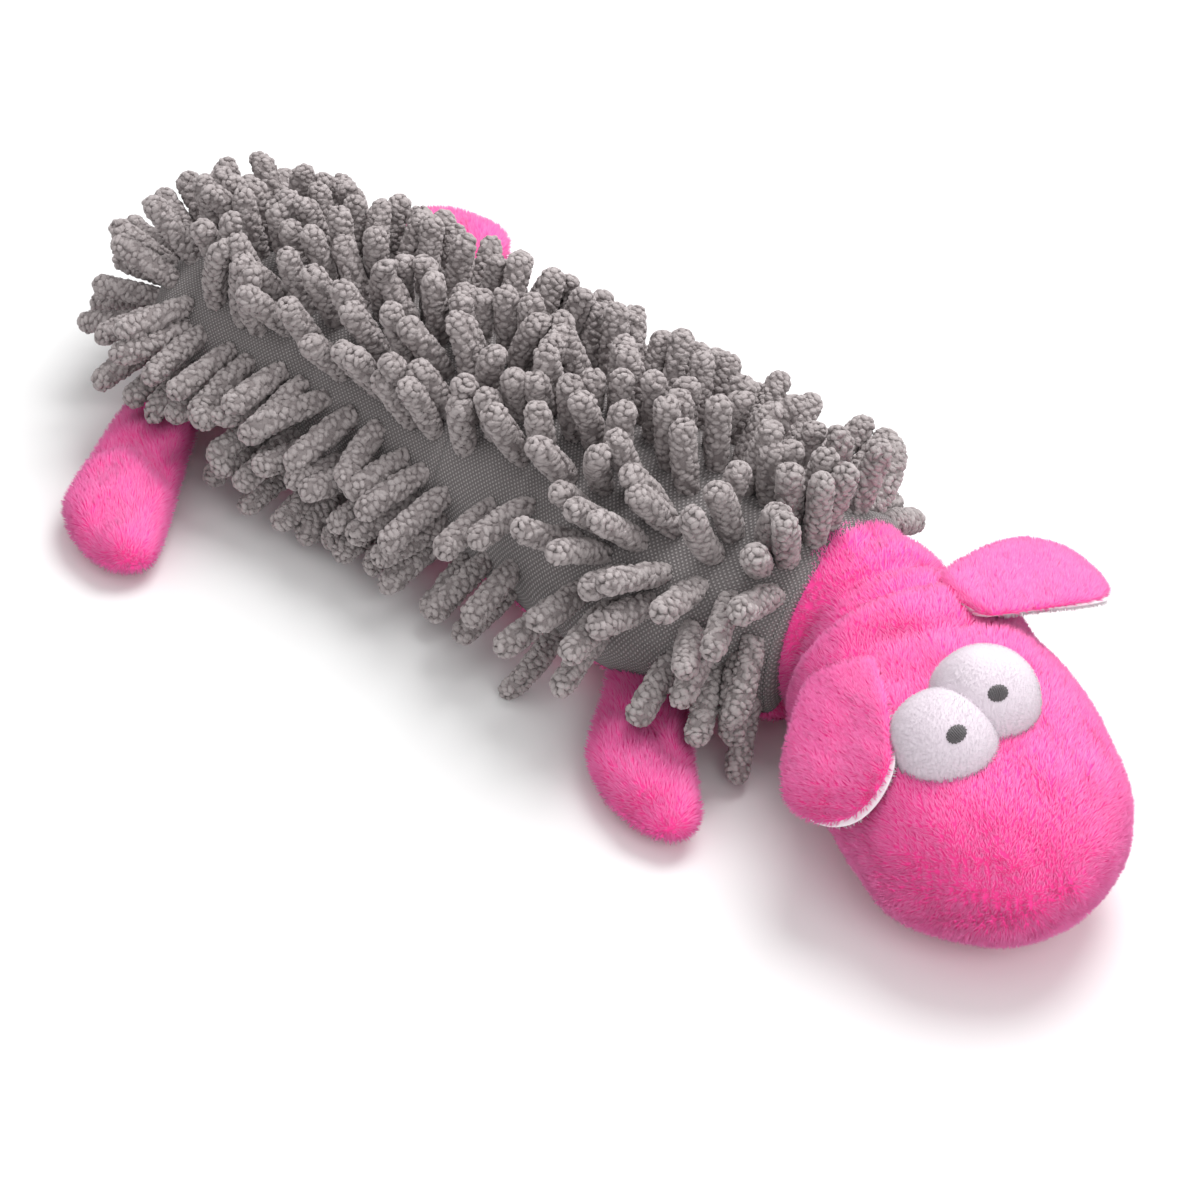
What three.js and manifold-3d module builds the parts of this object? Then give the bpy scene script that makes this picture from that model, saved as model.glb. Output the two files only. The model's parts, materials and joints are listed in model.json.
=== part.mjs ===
// A stuffed, squeaking dog toy: a long grey body covered with soft noodles, a pink plush head
// on a bendable neck, two flap ears, domed eyes, and four flat legs that hang from the side seams.
// Millimetres, +X towards the nose, +Y to the toy's left, +Z up. The origin is the middle of the
// flat that the belly rests on.
import * as THREE from "three";
import { mergeVertices } from "three/addons/utils/BufferGeometryUtils.js";
import Module from "manifold-3d";

const wasm = await Module();
wasm.setup();

// Shared thicknesses and gaps
const clothThickness = 3;
const plushThickness = 2.6;
const layerGap = 0.3;
const restCut = 0.5;
const overrun = 60;
const mergeTolerance = 1e-4;
const degree = Math.PI / 180;

// Torso: a long bag, closed and round at the rump, open at the neck
const torso = {
  length: 280,
  halfWidth: 38,
  middle: 27,
  rise: 39,
  depth: 27.5,
  startCap: 30,
  endCap: 0,
  power: 2.3,
  alongShares: [0, 0.1, 0.25, 0.45, 0.62, 0.78, 0.9, 1],
  wideShares: [0.86, 0.94, 1, 0.99, 1.04, 1.16, 1.08, 0.95],
  riseShares: [0.76, 0.87, 0.95, 0.95, 1, 1.02, 0.96, 0.9],
  depthShares: [0.9, 1, 1, 1, 1, 1, 1, 1],
  drifts: [0, 0, 0, 0, -3, -7, -6, 0],
};
const torsoMesh = { stations: 11, sides: 18, capRings: 4 };
const seamHeight = 14;
const seamWidth = 1;
const crossSeamX = 12;

// Noodles: soft chenille strands sewn to the cover
const noodleLength = 25;
const noodleCrown = 1.5;
const noodleRadius = 4.4;
const noodleRootRadius = 4.4;
const noodleTipRadius = 3.6;
const noodleSunk = 1.8;
const noodlePitch = 11.1;
const noodleStartHeight = 20;
const noodleSeamGap = 5;
const noodleSides = 3;
const noodleLean = 9 * degree;
const noodleWave = 140;
const noodleDroop = 16 * degree;
const noodleDroopShare = 0.55;
const noodleStagger = 0.8 * degree;
const noodleRumpStart = 1;
const profileSteps = 60;
const noodleArcShare = 1.5;
const noodleArcStart = 30 * degree;
const frontLean = 12 * degree;
const frontLeanLength = 50;
const frontDroop = 29 * degree;

// Squeaker: a blow-moulded bulb with a reed in its base
const squeakerX = 8;
const squeakerRadius = 20;
const squeakerHeight = 26;
const squeakerWall = 1.2;
const squeakerTopHeight = 6;
const squeakerBaseHeight = 4;
const squeakerPocketGap = 0.6;
const reedHousingRadius = 6;
const reedHousingHeight = 9;
const reedSlotWidth = 3;
const reedThickness = 0.4;
const reedWidth = 2.4;
const reedLength = 7;
const squeakerReedDrop = 0;
const squeakerSides = 14;
const squeakerFolds = 1;
const squeakerFoldDepth = 2;
const squeakerDomeShare = 0.7;

// Neck: two ball ends joined by a short column, turned a little to the toy's right
const neckRadius = 30;
const neckSpan = 26;
const neckYaw = -14 * degree;
const neckAhead = 4;
const neckOpenShare = 0.5;
const neckSides = 18;
const neckArcSteps = 5;
const neckHeight = 31.5;
const neckPlay = 2;
const socketRadius = (neckRadius + layerGap) / Math.cos(Math.PI / neckSides) ** 2;

// Head: an egg that lies on its chin
const headTurn = -18 * degree;
const headStart = 6;
const head = {
  length: 96,
  halfWidth: 40,
  middle: 30,
  rise: 32,
  depth: 30.5,
  startCap: 0,
  endCap: 34,
  power: 2.15,
  alongShares: [0, 0.15, 0.4, 0.7, 1],
  wideShares: [0.88, 0.97, 1.02, 0.97, 0.8],
  riseShares: [1, 1, 0.94, 0.78, 0.55],
  depthShares: [1, 1, 1, 1, 0.9],
};
const headMesh = { stations: 5, sides: 18, capRings: 4 };
const chinSeamHeight = 12;
// The face is sewn a little askew: eyes and ears are rolled and turned together.
const faceRoll = 18 * degree;
const faceTurn = 5 * degree;

// Eyes: two stuffed velour domes, side by side, with small embroidered pupils
const eye = { radius: 15.5, rise: 14.5, x: 43, y: 9, z: 55, spread: 20 * degree, pitch: 34 * degree };
const eyeShell = 1.4;
const eyeSides = 16;
const eyeRings = 4;
const eyeSink = 10;
const pupilRadius = 2.7;
const pupilThickness = 0.8;
const leftPupil = { forward: -2, inward: 5 };
const rightPupil = { forward: 1.8, inward: 5 };
const pupilSides = 12;

// Ears: flat flaps with a white lining, sewn along the crown
const ear = {
  length: 50,
  halfWidth: 17.5,
  middle: 0,
  rise: 2.8,
  depth: 2.8,
  startCap: 4,
  endCap: 15,
  power: 2.2,
  alongShares: [0, 0.25, 0.6, 0.85, 1],
  wideShares: [0.55, 0.8, 1, 0.95, 0.85],
  riseShares: [1, 1, 1, 1, 1],
  depthShares: [1, 1, 1, 1, 1],
};
const earArch = 6;
const earArchShares = [0, 0.5, 0.95, 0.95, 0.7];
const earHem = 1;
const earMesh = { stations: 4, sides: 10, capRings: 2 };
const earRoot = { x: 5, y: 19, z: 58 };
const earMin = -8 * degree;
const earMax = 60 * degree;
const earCutAngles = [earMin, 0, earMax];
const earPlaces = [
  { name: "left", side: 1, droop: 35.6 * degree, sweep: -9.9 * degree, roll: 5.8 * degree },
  { name: "right", side: -1, droop: 9.3 * degree, sweep: 61 * degree, roll: -13 * degree },
];

// Legs: lightly stuffed paddles
const leg = {
  length: 76,
  halfWidth: 20.5,
  middle: 0,
  rise: 8,
  depth: 8,
  startCap: 0,
  endCap: 14,
  power: 2.2,
  alongShares: [0, 0.2, 0.5, 0.8, 1],
  wideShares: [0.66, 0.7, 0.86, 1, 0.95],
  riseShares: [0.7, 0.8, 0.95, 1, 0.9],
  depthShares: [0.7, 0.8, 0.95, 1, 0.9],
};
const legMesh = { stations: 3, sides: 12, capRings: 3 };
const legRootHeight = 12;
const legFootHeight = 8.6;
const legReach = 9;
const legSwingHeight = 32;
const legSwingGap = 4;
const legMin = -70 * degree;
const legMax = 10 * degree;
const legCutSteps = 5;
const legCutAngles = Array.from({ length: legCutSteps }, (_, i) => legMin * (1 - i / (legCutSteps - 1)));
legCutAngles.push(legMax);
const frontLegLength = 52;
const rearLeft = { fromRump: 28, y: 40, forward: 20, raise: 8 * degree };
const rearRight = { fromRump: 24, y: 40, forward: 41, raise: 0 };
const frontLeft = { fromNeck: 54, y: 36, forward: 6, raise: 0 };
const frontRight = { fromNeck: 42, y: 46, forward: 38, raise: 0 };
const rumpX = -torso.length / 2;
const neckX = torso.length / 2;
const legPlaces = [
  { name: "rear_left", side: 1, x: rumpX + rearLeft.fromRump, length: leg.length, ...rearLeft },
  { name: "rear_right", side: -1, x: rumpX + rearRight.fromRump, length: leg.length, ...rearRight },
  { name: "front_left", side: 1, x: neckX - frontLeft.fromNeck, length: frontLegLength, ...frontLeft },
  { name: "front_right", side: -1, x: neckX - frontRight.fromNeck, length: frontLegLength, ...frontRight },
];

// The height, or width, of a form at a place along it: a smooth curve through its table.
function smoothTable(places, values, at) {
  const last = places.length - 1;
  let i = 0;
  while (i < last - 1 && at > places[i + 1]) i += 1;
  const slope = (k) => {
    const a = Math.max(k - 1, 0);
    const b = Math.min(k + 1, last);
    return (values[b] - values[a]) / (places[b] - places[a]);
  };
  const span = places[i + 1] - places[i];
  const t = Math.min(Math.max((at - places[i]) / span, 0), 1);
  const rest = 1 - t;
  return (
    values[i] * rest * rest * (1 + 2 * t) +
    slope(i) * span * t * rest * rest +
    values[i + 1] * t * t * (1 + 2 * rest) -
    slope(i + 1) * span * t * t * rest
  );
}

// A round end closes a form as an ellipse does: 0 at the tip, 1 where the cap ends.
function capShare(distance, cap) {
  if (cap <= 0 || distance >= cap) return 1;
  const left = 1 - Math.max(distance, 0) / cap;
  return Math.sqrt(1 - left * left);
}

// The section of a form at a distance along it, swollen all over by grow.
function sectionAt(form, distance, grow) {
  const share = Math.min(Math.max(distance / form.length, 0), 1);
  const fromStart = form.startCap > 0 ? capShare(distance + grow, form.startCap + grow) : 1;
  const fromEnd = form.endCap > 0 ? capShare(form.length + grow - distance, form.endCap + grow) : 1;
  const cap = fromStart * fromEnd;
  return {
    wide: (smoothTable(form.alongShares, form.wideShares, share) * form.halfWidth + grow) * cap,
    rise: (smoothTable(form.alongShares, form.riseShares, share) * form.rise + grow) * cap,
    depth: (smoothTable(form.alongShares, form.depthShares, share) * form.depth + grow) * cap,
    middle: form.middle + (form.lifts ? smoothTable(form.alongShares, form.lifts, share) : 0),
    drift: form.drifts ? smoothTable(form.alongShares, form.drifts, share) : 0,
  };
}

// A point on a form: a superellipse section, angle 0 at its left side and a right angle on top.
function formPoint(form, distance, angle, grow) {
  const s = sectionAt(form, distance, grow);
  const c = Math.cos(angle);
  const n = Math.sin(angle);
  const soft = 2 / form.power;
  const y = Math.sign(c) * Math.pow(Math.abs(c), soft) * s.wide;
  const z = Math.sign(n) * Math.pow(Math.abs(n), soft) * (n >= 0 ? s.rise : s.depth);
  return new THREE.Vector3(distance, s.drift + y, s.middle + z);
}

// Distances of the rings along a form: even along its body, by equal angles round its caps.
function ringPlaces(form, grow, stations, capRings, past) {
  const quarter = Math.PI / 2;
  const capSteps = Array.from({ length: capRings }, (_, i) => 1 - Math.cos((quarter * i) / capRings));
  const startCap = form.startCap > 0 ? form.startCap + grow : 0;
  const endCap = form.endCap > 0 ? form.endCap + grow : 0;
  const from = startCap > 0 ? -grow : 0;
  const to = endCap > 0 ? form.length + grow : form.length;
  const bodyFrom = from + startCap;
  const bodyTo = to - endCap;
  const bodyLength = bodyTo - bodyFrom;
  const body = Array.from({ length: stations + 1 }, (_, i) => bodyFrom + (bodyLength * i) / stations);
  const openEnd = past > 0 ? [past] : [];
  const start = startCap > 0 ? capSteps.map((share) => from + startCap * share) : openEnd.map((d) => -d);
  const endSteps = capSteps.toReversed();
  const end = endCap > 0 ? endSteps.map((share) => to - endCap * share) : openEnd.map((d) => to + d);
  return [...start, ...body, ...end];
}

// A closed surface through rings of points, each end drawn to one point.
function closedRings(rings, startTip, endTip) {
  const points = [startTip, ...rings.flat(), endTip];
  const sides = rings[0].length;
  const faces = [];
  const at = (ring, side) => 1 + ring * sides + (side % sides);
  for (let k = 0; k < sides; k += 1) {
    faces.push(0, at(0, k + 1), at(0, k));
    for (let r = 0; r < rings.length - 1; r += 1) {
      faces.push(at(r, k), at(r + 1, k + 1), at(r + 1, k));
      faces.push(at(r, k), at(r, k + 1), at(r + 1, k + 1));
    }
    faces.push(at(rings.length - 1, k), at(rings.length - 1, k + 1), points.length - 1);
  }
  const geometry = new THREE.BufferGeometry().setFromPoints(points);
  geometry.setIndex(faces);
  return geometry;
}

// The solid of a form. An open end runs on by past, as a flat disc.
function formSolid(form, grow, { stations, sides, capRings }, past = 0) {
  const places = ringPlaces(form, grow, stations, capRings, past);
  const first = form.startCap > 0 ? 1 : 0;
  const last = form.endCap > 0 ? places.length - 1 : places.length;
  const rings = places.slice(first, last).map((d) =>
    Array.from({ length: sides }, (_, k) => formPoint(form, d, (2 * Math.PI * k) / sides, grow)),
  );
  const tip = (d) => {
    const s = sectionAt(form, d, grow);
    return new THREE.Vector3(d, s.drift, s.middle);
  };
  return solidOf(closedRings(rings, tip(places[0]), tip(places[places.length - 1])));
}

// A geometry as a solid that can be joined and cut, and back again.
function solidOf(geometry, matrix = new THREE.Matrix4()) {
  const bare = new THREE.BufferGeometry().setAttribute("position", geometry.getAttribute("position").clone());
  bare.setIndex(geometry.index);
  bare.applyMatrix4(matrix);
  const merged = mergeVertices(bare, mergeTolerance);
  return new wasm.Manifold(
    new wasm.Mesh({
      numProp: 3,
      vertProperties: merged.attributes.position.array,
      triVerts: new Uint32Array(merged.index.array),
    }),
  );
}

function geometryOf(solid) {
  const mesh = solid.getMesh();
  const points = new Float32Array(mesh.numVert * 3);
  for (let i = 0; i < mesh.numVert; i += 1) {
    points.set(mesh.vertProperties.subarray(i * mesh.numProp, i * mesh.numProp + 3), i * 3);
  }
  const geometry = new THREE.BufferGeometry();
  geometry.setAttribute("position", new THREE.BufferAttribute(points, 3));
  geometry.setIndex(new THREE.BufferAttribute(new Uint32Array(mesh.triVerts), 1));
  geometry.computeVertexNormals();
  return geometry;
}

// Simple cutters
function block(from, to) {
  const size = to.map((v, i) => v - from[i]);
  const middle = to.map((v, i) => (v + from[i]) / 2);
  return solidOf(new THREE.BoxGeometry(...size), new THREE.Matrix4().makeTranslation(...middle));
}

function drum(radius, from, to, x, y, sides) {
  const matrix = new THREE.Matrix4().makeTranslation(x, y, (from + to) / 2);
  matrix.multiply(new THREE.Matrix4().makeRotationX(Math.PI / 2));
  return solidOf(new THREE.CylinderGeometry(radius, radius, to - from, sides), matrix);
}

function above(z) {
  return block([-torso.length, -torso.length, z], [torso.length, torso.length, z + torso.length]);
}

function below(z) {
  return block([-torso.length, -torso.length, z - torso.length], [torso.length, torso.length, z]);
}

// Materials
const grey = new THREE.MeshStandardMaterial({ color: 0x968e8e, roughness: 0.95, metalness: 0 });
const pink = new THREE.MeshStandardMaterial({ color: 0xff4fa6, roughness: 0.9, metalness: 0 });
const white = new THREE.MeshStandardMaterial({ color: 0xeee6ec, roughness: 0.9, metalness: 0 });
const wadding = new THREE.MeshStandardMaterial({ color: 0xf2f2ee, roughness: 1, metalness: 0 });
const darkThread = new THREE.MeshStandardMaterial({ color: 0x46423f, roughness: 0.8, metalness: 0 });
const softPlastic = new THREE.MeshStandardMaterial({ color: 0xdfe6ea, roughness: 0.4, metalness: 0 });
const hardPlastic = new THREE.MeshStandardMaterial({ color: 0xf6f6f6, roughness: 0.35, metalness: 0 });

const toy = new THREE.Group();
const placeOf = (group) => {
  toy.updateMatrixWorld(true);
  return group.matrixWorld.clone();
};
function addPiece(parent, name, solid, material) {
  const mesh = new THREE.Mesh(geometryOf(solid), material);
  mesh.name = name;
  parent.add(mesh);
  return mesh;
}

// Groups of the moving parts
const neckGroup = new THREE.Group();
neckGroup.name = "neck_pivot";
neckGroup.position.set(neckX + neckAhead, 0, neckHeight);
neckGroup.rotation.z = neckYaw;
toy.add(neckGroup);
const headGroup = new THREE.Group();
headGroup.name = "head_pivot";
headGroup.position.set(neckSpan, 0, 0);
headGroup.rotation.z = headTurn;
neckGroup.add(headGroup);

// A column with two ball ends, from the neck's rear ball to its front one
function ballColumn(radius, sides) {
  const half = neckSpan / 2;
  const arc = Array.from({ length: neckArcSteps + 1 }, (_, i) => (Math.PI / 2) * (i / neckArcSteps));
  const lower = arc.map((t) => new THREE.Vector2(radius * Math.sin(t), -half - radius * Math.cos(t)));
  const upper = arc.map((t) => new THREE.Vector2(radius * Math.cos(t), half + radius * Math.sin(t)));
  lower[0].x = 0;
  upper[neckArcSteps].x = 0;
  const lie = new THREE.Matrix4().makeTranslation(half, 0, 0);
  lie.multiply(new THREE.Matrix4().makeRotationZ(-Math.PI / 2));
  return solidOf(new THREE.LatheGeometry([...lower, ...upper], sides), lie);
}

// Torso layers
const shifted = (solid) => solid.translate([rumpX, 0, 0]);
const torsoOuter = shifted(formSolid(torso, 0, torsoMesh));
const torsoInner = shifted(formSolid(torso, -clothThickness, torsoMesh, overrun));
const torsoFill = shifted(formSolid(torso, -clothThickness - layerGap, torsoMesh));
const torsoClear = shifted(formSolid(torso, layerGap, torsoMesh));
const floor = below(0);
const neckClear = ballColumn(socketRadius, neckSides).transform(placeOf(neckGroup).elements);
const torsoSkin = torsoOuter.subtract(torsoInner).subtract(neckClear).subtract(floor);
// The cover and the belly panel meet at the side seams, which a tape runs between.
const seamTop = seamHeight + seamWidth / 2;
const seamBottom = seamHeight - seamWidth / 2;
const coverShell = torsoSkin.intersect(above(seamTop + layerGap));
const bellyPanel = torsoSkin.intersect(below(seamBottom - layerGap));
const seamTape = torsoSkin.intersect(block(
  [-torso.length, -torso.length, seamBottom],
  [torso.length, torso.length, seamTop],
));

// Noodles: each stands on the cover along its outward normal, leaning with its neighbours.
function noodleSolid(root, direction) {
  const turn = new THREE.Quaternion().setFromUnitVectors(new THREE.Vector3(0, 0, 1), direction);
  const ring = (height, radius) =>
    Array.from({ length: noodleSides }, (_, k) => {
      const angle = (2 * Math.PI * k) / noodleSides;
      const point = new THREE.Vector3(radius * Math.cos(angle), radius * Math.sin(angle), height);
      return point.applyQuaternion(turn).add(root);
    });
  const end = (height) => new THREE.Vector3(0, 0, height).applyQuaternion(turn).add(root);
  const rings = [ring(-noodleSunk, noodleRootRadius), ring(noodleLength, noodleTipRadius)];
  return closedRings(rings, end(-noodleSunk), end(noodleLength + noodleCrown));
}

// The outward normal of the torso at a place on it.
function torsoNormal(distance, angle) {
  const step = degree;
  const at = (d, a) => formPoint(torso, d, a, 0);
  const along = at(distance + layerGap, angle).sub(at(distance - layerGap, angle));
  const around = at(distance, angle + step).sub(at(distance, angle - step));
  return around.cross(along).normalize();
}

// Places along a line of points, an even pitch apart, from its start to its end.
function evenPlaces(line, values, pitch) {
  const lengths = [0];
  for (let i = 1; i < line.length; i += 1) lengths.push(lengths[i - 1] + line[i].distanceTo(line[i - 1]));
  const total = lengths[lengths.length - 1];
  const count = Math.max(Math.round(total / pitch), 1);
  return Array.from({ length: count + 1 }, (_, k) => {
    const at = (total * k) / count;
    const found = lengths.findIndex((l) => l >= at);
    const i = found < 0 ? line.length - 1 : Math.max(found, 1);
    const t = (at - lengths[i - 1]) / (lengths[i] - lengths[i - 1] || 1);
    return values[i - 1] + (values[i] - values[i - 1]) * t;
  });
}

// The roots and directions of the noodles on one quarter of the cover.
function quarterNoodles(side, fromDistance, toDistance) {
  const noodles = [];
  const steps = Array.from({ length: profileSteps + 1 }, (_, i) => i / profileSteps);
  const profile = steps.map((share) => fromDistance + (toDistance - fromDistance) * share);
  const onSide = (angle) => (side > 0 ? angle : Math.PI - angle);
  const rows = evenPlaces(profile.map((d) => formPoint(torso, d, onSide(0), 0)), profile, noodlePitch);
  rows.forEach((distance, row) => {
    const arc = steps
      .map((share) => (Math.PI / 2) * (1 - share * noodleArcShare) + noodleArcStart)
      .map((angle) => ({ angle, point: formPoint(torso, distance, onSide(angle), 0) }))
      .filter(({ point }) => point.y * side > noodleSeamGap && point.z > noodleStartHeight);
    if (arc.length < 2) return;
    const places = evenPlaces(arc.map((a) => a.point), arc.map((a) => a.angle), noodlePitch);
    places.forEach((angle, k) => {
      const point = formPoint(torso, distance, onSide(angle), 0);
      const direction = torsoNormal(distance, onSide(angle));
      const wave = (2 * Math.PI * distance) / noodleWave;
      const stagger = row % 2 ? noodleStagger : -noodleStagger;
      const forward = noodleLean * Math.sin(wave + angle + side) + stagger;
      const front = Math.max(0, 1 - (torso.length - distance) / frontLeanLength);
      const droop = noodleDroop * Math.cos(angle) * (k % 2 ? 1 : noodleDroopShare) + frontDroop * front;
      const upright = 1 - Math.abs(direction.x);
      direction.x += Math.tan(forward) * upright - Math.tan(frontLean) * front;
      direction.z -= Math.tan(droop);
      direction.normalize();
      point.x += rumpX;
      if (!overLeg(point, side)) {
        noodles.push(noodleSolid(point, direction));
      }
    });
  });
  return noodles;
}

// Noodles leave the legs free to swing up.
function overLeg(point, side) {
  const room = leg.halfWidth * leg.wideShares[0] + noodleRadius + legSwingGap;
  return legPlaces.some((place) => {
    const drift = place.forward * (noodleLength / place.length);
    const near = point.x > place.x - room && point.x < place.x + drift + room;
    const swingHeight = legSwingHeight + noodleLength * Math.sin(place.raise);
    return place.side === side && point.z < swingHeight && near;
  });
}

// One quarter of the cover, with its noodles joined to it.
function coverQuarter(side, fromDistance, toDistance) {
  const halfGap = layerGap / 2;
  const reach = torso.length;
  const fromX = fromDistance > 0 ? rumpX + fromDistance + halfGap : -reach;
  const toX = toDistance < torso.length ? rumpX + toDistance - halfGap : reach;
  const y = side > 0 ? [halfGap, reach] : [-reach, -halfGap];
  let piece = coverShell.intersect(block([fromX, y[0], 0], [toX, y[1], reach]));
  const start = fromDistance > 0 ? fromDistance + noodleSeamGap : noodleRumpStart;
  for (const noodle of quarterNoodles(side, start, toDistance - noodleSeamGap)) {
    piece = piece.add(solidOf(noodle));
  }
  return piece.subtract(torsoInner);
}
const crossSeam = crossSeamX - rumpX;
addPiece(toy, "noodle_cover_left_rear", coverQuarter(1, 0, crossSeam), grey);
addPiece(toy, "noodle_cover_right_rear", coverQuarter(-1, 0, crossSeam), grey);
addPiece(toy, "noodle_cover_left_front", coverQuarter(1, crossSeam, torso.length), grey);
addPiece(toy, "noodle_cover_right_front", coverQuarter(-1, crossSeam, torso.length), grey);
addPiece(toy, "belly_panel", bellyPanel, pink);
addPiece(toy, "side_seam_tape", seamTape, darkThread);

// Neck: a column with two ball ends, skin over wadding. Its frame starts at the rear ball.
const neckOuter = ballColumn(neckRadius, neckSides);
const neckWad = ballColumn(neckRadius - plushThickness - layerGap, neckSides);
const neckOpen = neckRadius * neckOpenShare;
const napeSlab = block([-neckOpen, -overrun, -overrun], [neckSpan + neckOpen, overrun, overrun]);
const nape = neckOuter.subtract(ballColumn(neckRadius - plushThickness, neckSides)).intersect(napeSlab);
addPiece(neckGroup, "nape_plush", nape, pink);
addPiece(neckGroup, "neck_stuffing", neckWad, wadding);

// Torso wadding, in two halves with a pocket for the squeaker between them
const pocketRadius = squeakerRadius + squeakerPocketGap;
const squeakerBottom = torso.middle + torso.rise / 2 - torso.depth / 2 - squeakerHeight / 2;
const squeakerTop = squeakerBottom + squeakerHeight;
const wadSplit = (squeakerBottom + squeakerTop) / 2;
const pocket = drum(
  pocketRadius,
  squeakerBottom - squeakerPocketGap,
  squeakerTop + squeakerPocketGap,
  squeakerX,
  0,
  squeakerSides,
);
const wadFloor = below(clothThickness + layerGap - restCut);
const neckHollow = ballColumn(socketRadius + neckPlay, neckSides).transform(placeOf(neckGroup).elements);
const wad = torsoFill.subtract(neckHollow).subtract(pocket).subtract(wadFloor);
addPiece(toy, "torso_stuffing_lower", wad.intersect(below(wadSplit - layerGap / 2)), wadding);
addPiece(toy, "torso_stuffing_upper", wad.intersect(above(wadSplit + layerGap / 2)), wadding);

// Squeaker: base, bellows wall and top of the bulb, with the reed housing in the base
const squeakerGroup = new THREE.Group();
squeakerGroup.name = "squeaker";
squeakerGroup.position.set(squeakerX, 0, squeakerBottom);
toy.add(squeakerGroup);
const wallTop = squeakerHeight - squeakerTopHeight;
function turned(profile, sides) {
  const points = profile.map(([r, z]) => new THREE.Vector2(r, z));
  const upright = new THREE.Matrix4().makeRotationX(Math.PI / 2);
  return solidOf(new THREE.LatheGeometry(points, sides), upright);
}
const baseHole = reedHousingRadius + layerGap;
const basePlate = turned([
  [baseHole, 0],
  [squeakerRadius, 0],
  [squeakerRadius, squeakerBaseHeight],
  [squeakerRadius - squeakerWall, squeakerBaseHeight],
  [squeakerRadius - squeakerWall, squeakerWall],
  [baseHole, squeakerWall],
  [baseHole, 0],
], squeakerSides);
addPiece(squeakerGroup, "squeaker_base", basePlate, softPlastic);
const wallBottom = squeakerBaseHeight + layerGap;
const foldHeight = (wallTop - layerGap - wallBottom) / squeakerFolds;
const foldOut = [];
const foldIn = [];
for (let i = 0; i <= squeakerFolds * 2; i += 1) {
  const z = wallBottom + (foldHeight * i) / 2;
  const r = squeakerRadius - (i % 2 ? squeakerFoldDepth : 0);
  foldOut.push([r, z]);
  foldIn.unshift([r - squeakerWall, z]);
}
const bellows = turned([...foldOut, ...foldIn, foldOut[0]], squeakerSides);
addPiece(squeakerGroup, "squeaker_wall", bellows, softPlastic);
const bulbTop = turned([
  [squeakerRadius - squeakerWall, wallTop],
  [squeakerRadius, wallTop],
  [squeakerRadius, wallTop + squeakerWall],
  [squeakerRadius * squeakerDomeShare, squeakerHeight],
  [0, squeakerHeight],
  [0, squeakerHeight - squeakerWall],
  [squeakerRadius * squeakerDomeShare - squeakerWall, squeakerHeight - squeakerWall],
  [squeakerRadius - squeakerWall, wallTop + squeakerWall],
  [squeakerRadius - squeakerWall, wallTop],
], squeakerSides);
addPiece(squeakerGroup, "squeaker_top", bulbTop, softPlastic);
const reedHousing = drum(reedHousingRadius, squeakerReedDrop, reedHousingHeight, 0, 0, squeakerSides);
const reedSlot = block(
  [-reedSlotWidth / 2, -reedSlotWidth / 2, squeakerReedDrop - overrun],
  [reedSlotWidth / 2, reedSlotWidth / 2, overrun],
);
addPiece(squeakerGroup, "squeaker_reed_housing", reedHousing.subtract(reedSlot), hardPlastic);
const reed = block(
  [reedSlotWidth / 2 - layerGap - reedThickness, -reedWidth / 2, reedHousingHeight - reedLength],
  [reedSlotWidth / 2 - layerGap, reedWidth / 2, reedHousingHeight],
);
addPiece(squeakerGroup, "squeaker_reed", reed, hardPlastic);

// Head layers, in the head's own frame, whose origin is the neck's front ball
const headForm = { ...head, middle: head.middle - neckHeight };
const headPast = (solid) => solid.translate([headStart, 0, 0]);
const headOuter = headPast(formSolid(headForm, 0, headMesh));
const headInner = headPast(formSolid(headForm, -plushThickness, headMesh, overrun));
const headFill = headPast(formSolid(headForm, -plushThickness - layerGap, headMesh));
const headClear = headPast(formSolid(headForm, layerGap, headMesh));
// The neck's front ball turns in the head, with more play in the wadding than in the skin.
const headBall = (play) =>
  solidOf(new THREE.SphereGeometry(socketRadius + play, neckSides, neckSides / 2));
const headFloor = below(-neckHeight);
const headSkin = headOuter.subtract(headInner).subtract(headBall(neckPlay / 4)).subtract(headFloor);
const chinSeam = chinSeamHeight - neckHeight;
addPiece(headGroup, "face_plush", headSkin.intersect(above(chinSeam + layerGap / 2)), pink);
addPiece(headGroup, "chin_panel", headSkin.intersect(below(chinSeam - layerGap / 2)), pink);
const headWadFloor = below(plushThickness + layerGap - restCut - neckHeight);
addPiece(headGroup, "head_stuffing", headFill.subtract(headBall(neckPlay)).subtract(headWadFloor), wadding);

// The face group holds what is sewn to the head askew.
const faceGroup = new THREE.Group();
faceGroup.rotation.set(faceRoll, 0, faceTurn);
headGroup.add(faceGroup);

// Eyes: a dome of velour over a wad, cut to the head, and a pupil on its front
function eyeDome(grow, sink) {
  const profile = [];
  for (let i = 0; i <= eyeRings; i += 1) {
    const t = (Math.PI / 2) * (i / eyeRings);
    profile.push([(eye.radius + grow) * Math.cos(t), (eye.rise + grow) * Math.sin(t)]);
  }
  profile[eyeRings][0] = 0;
  return turned([[0, -sink], [eye.radius + grow, -sink], ...profile], eyeSides);
}
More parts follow.
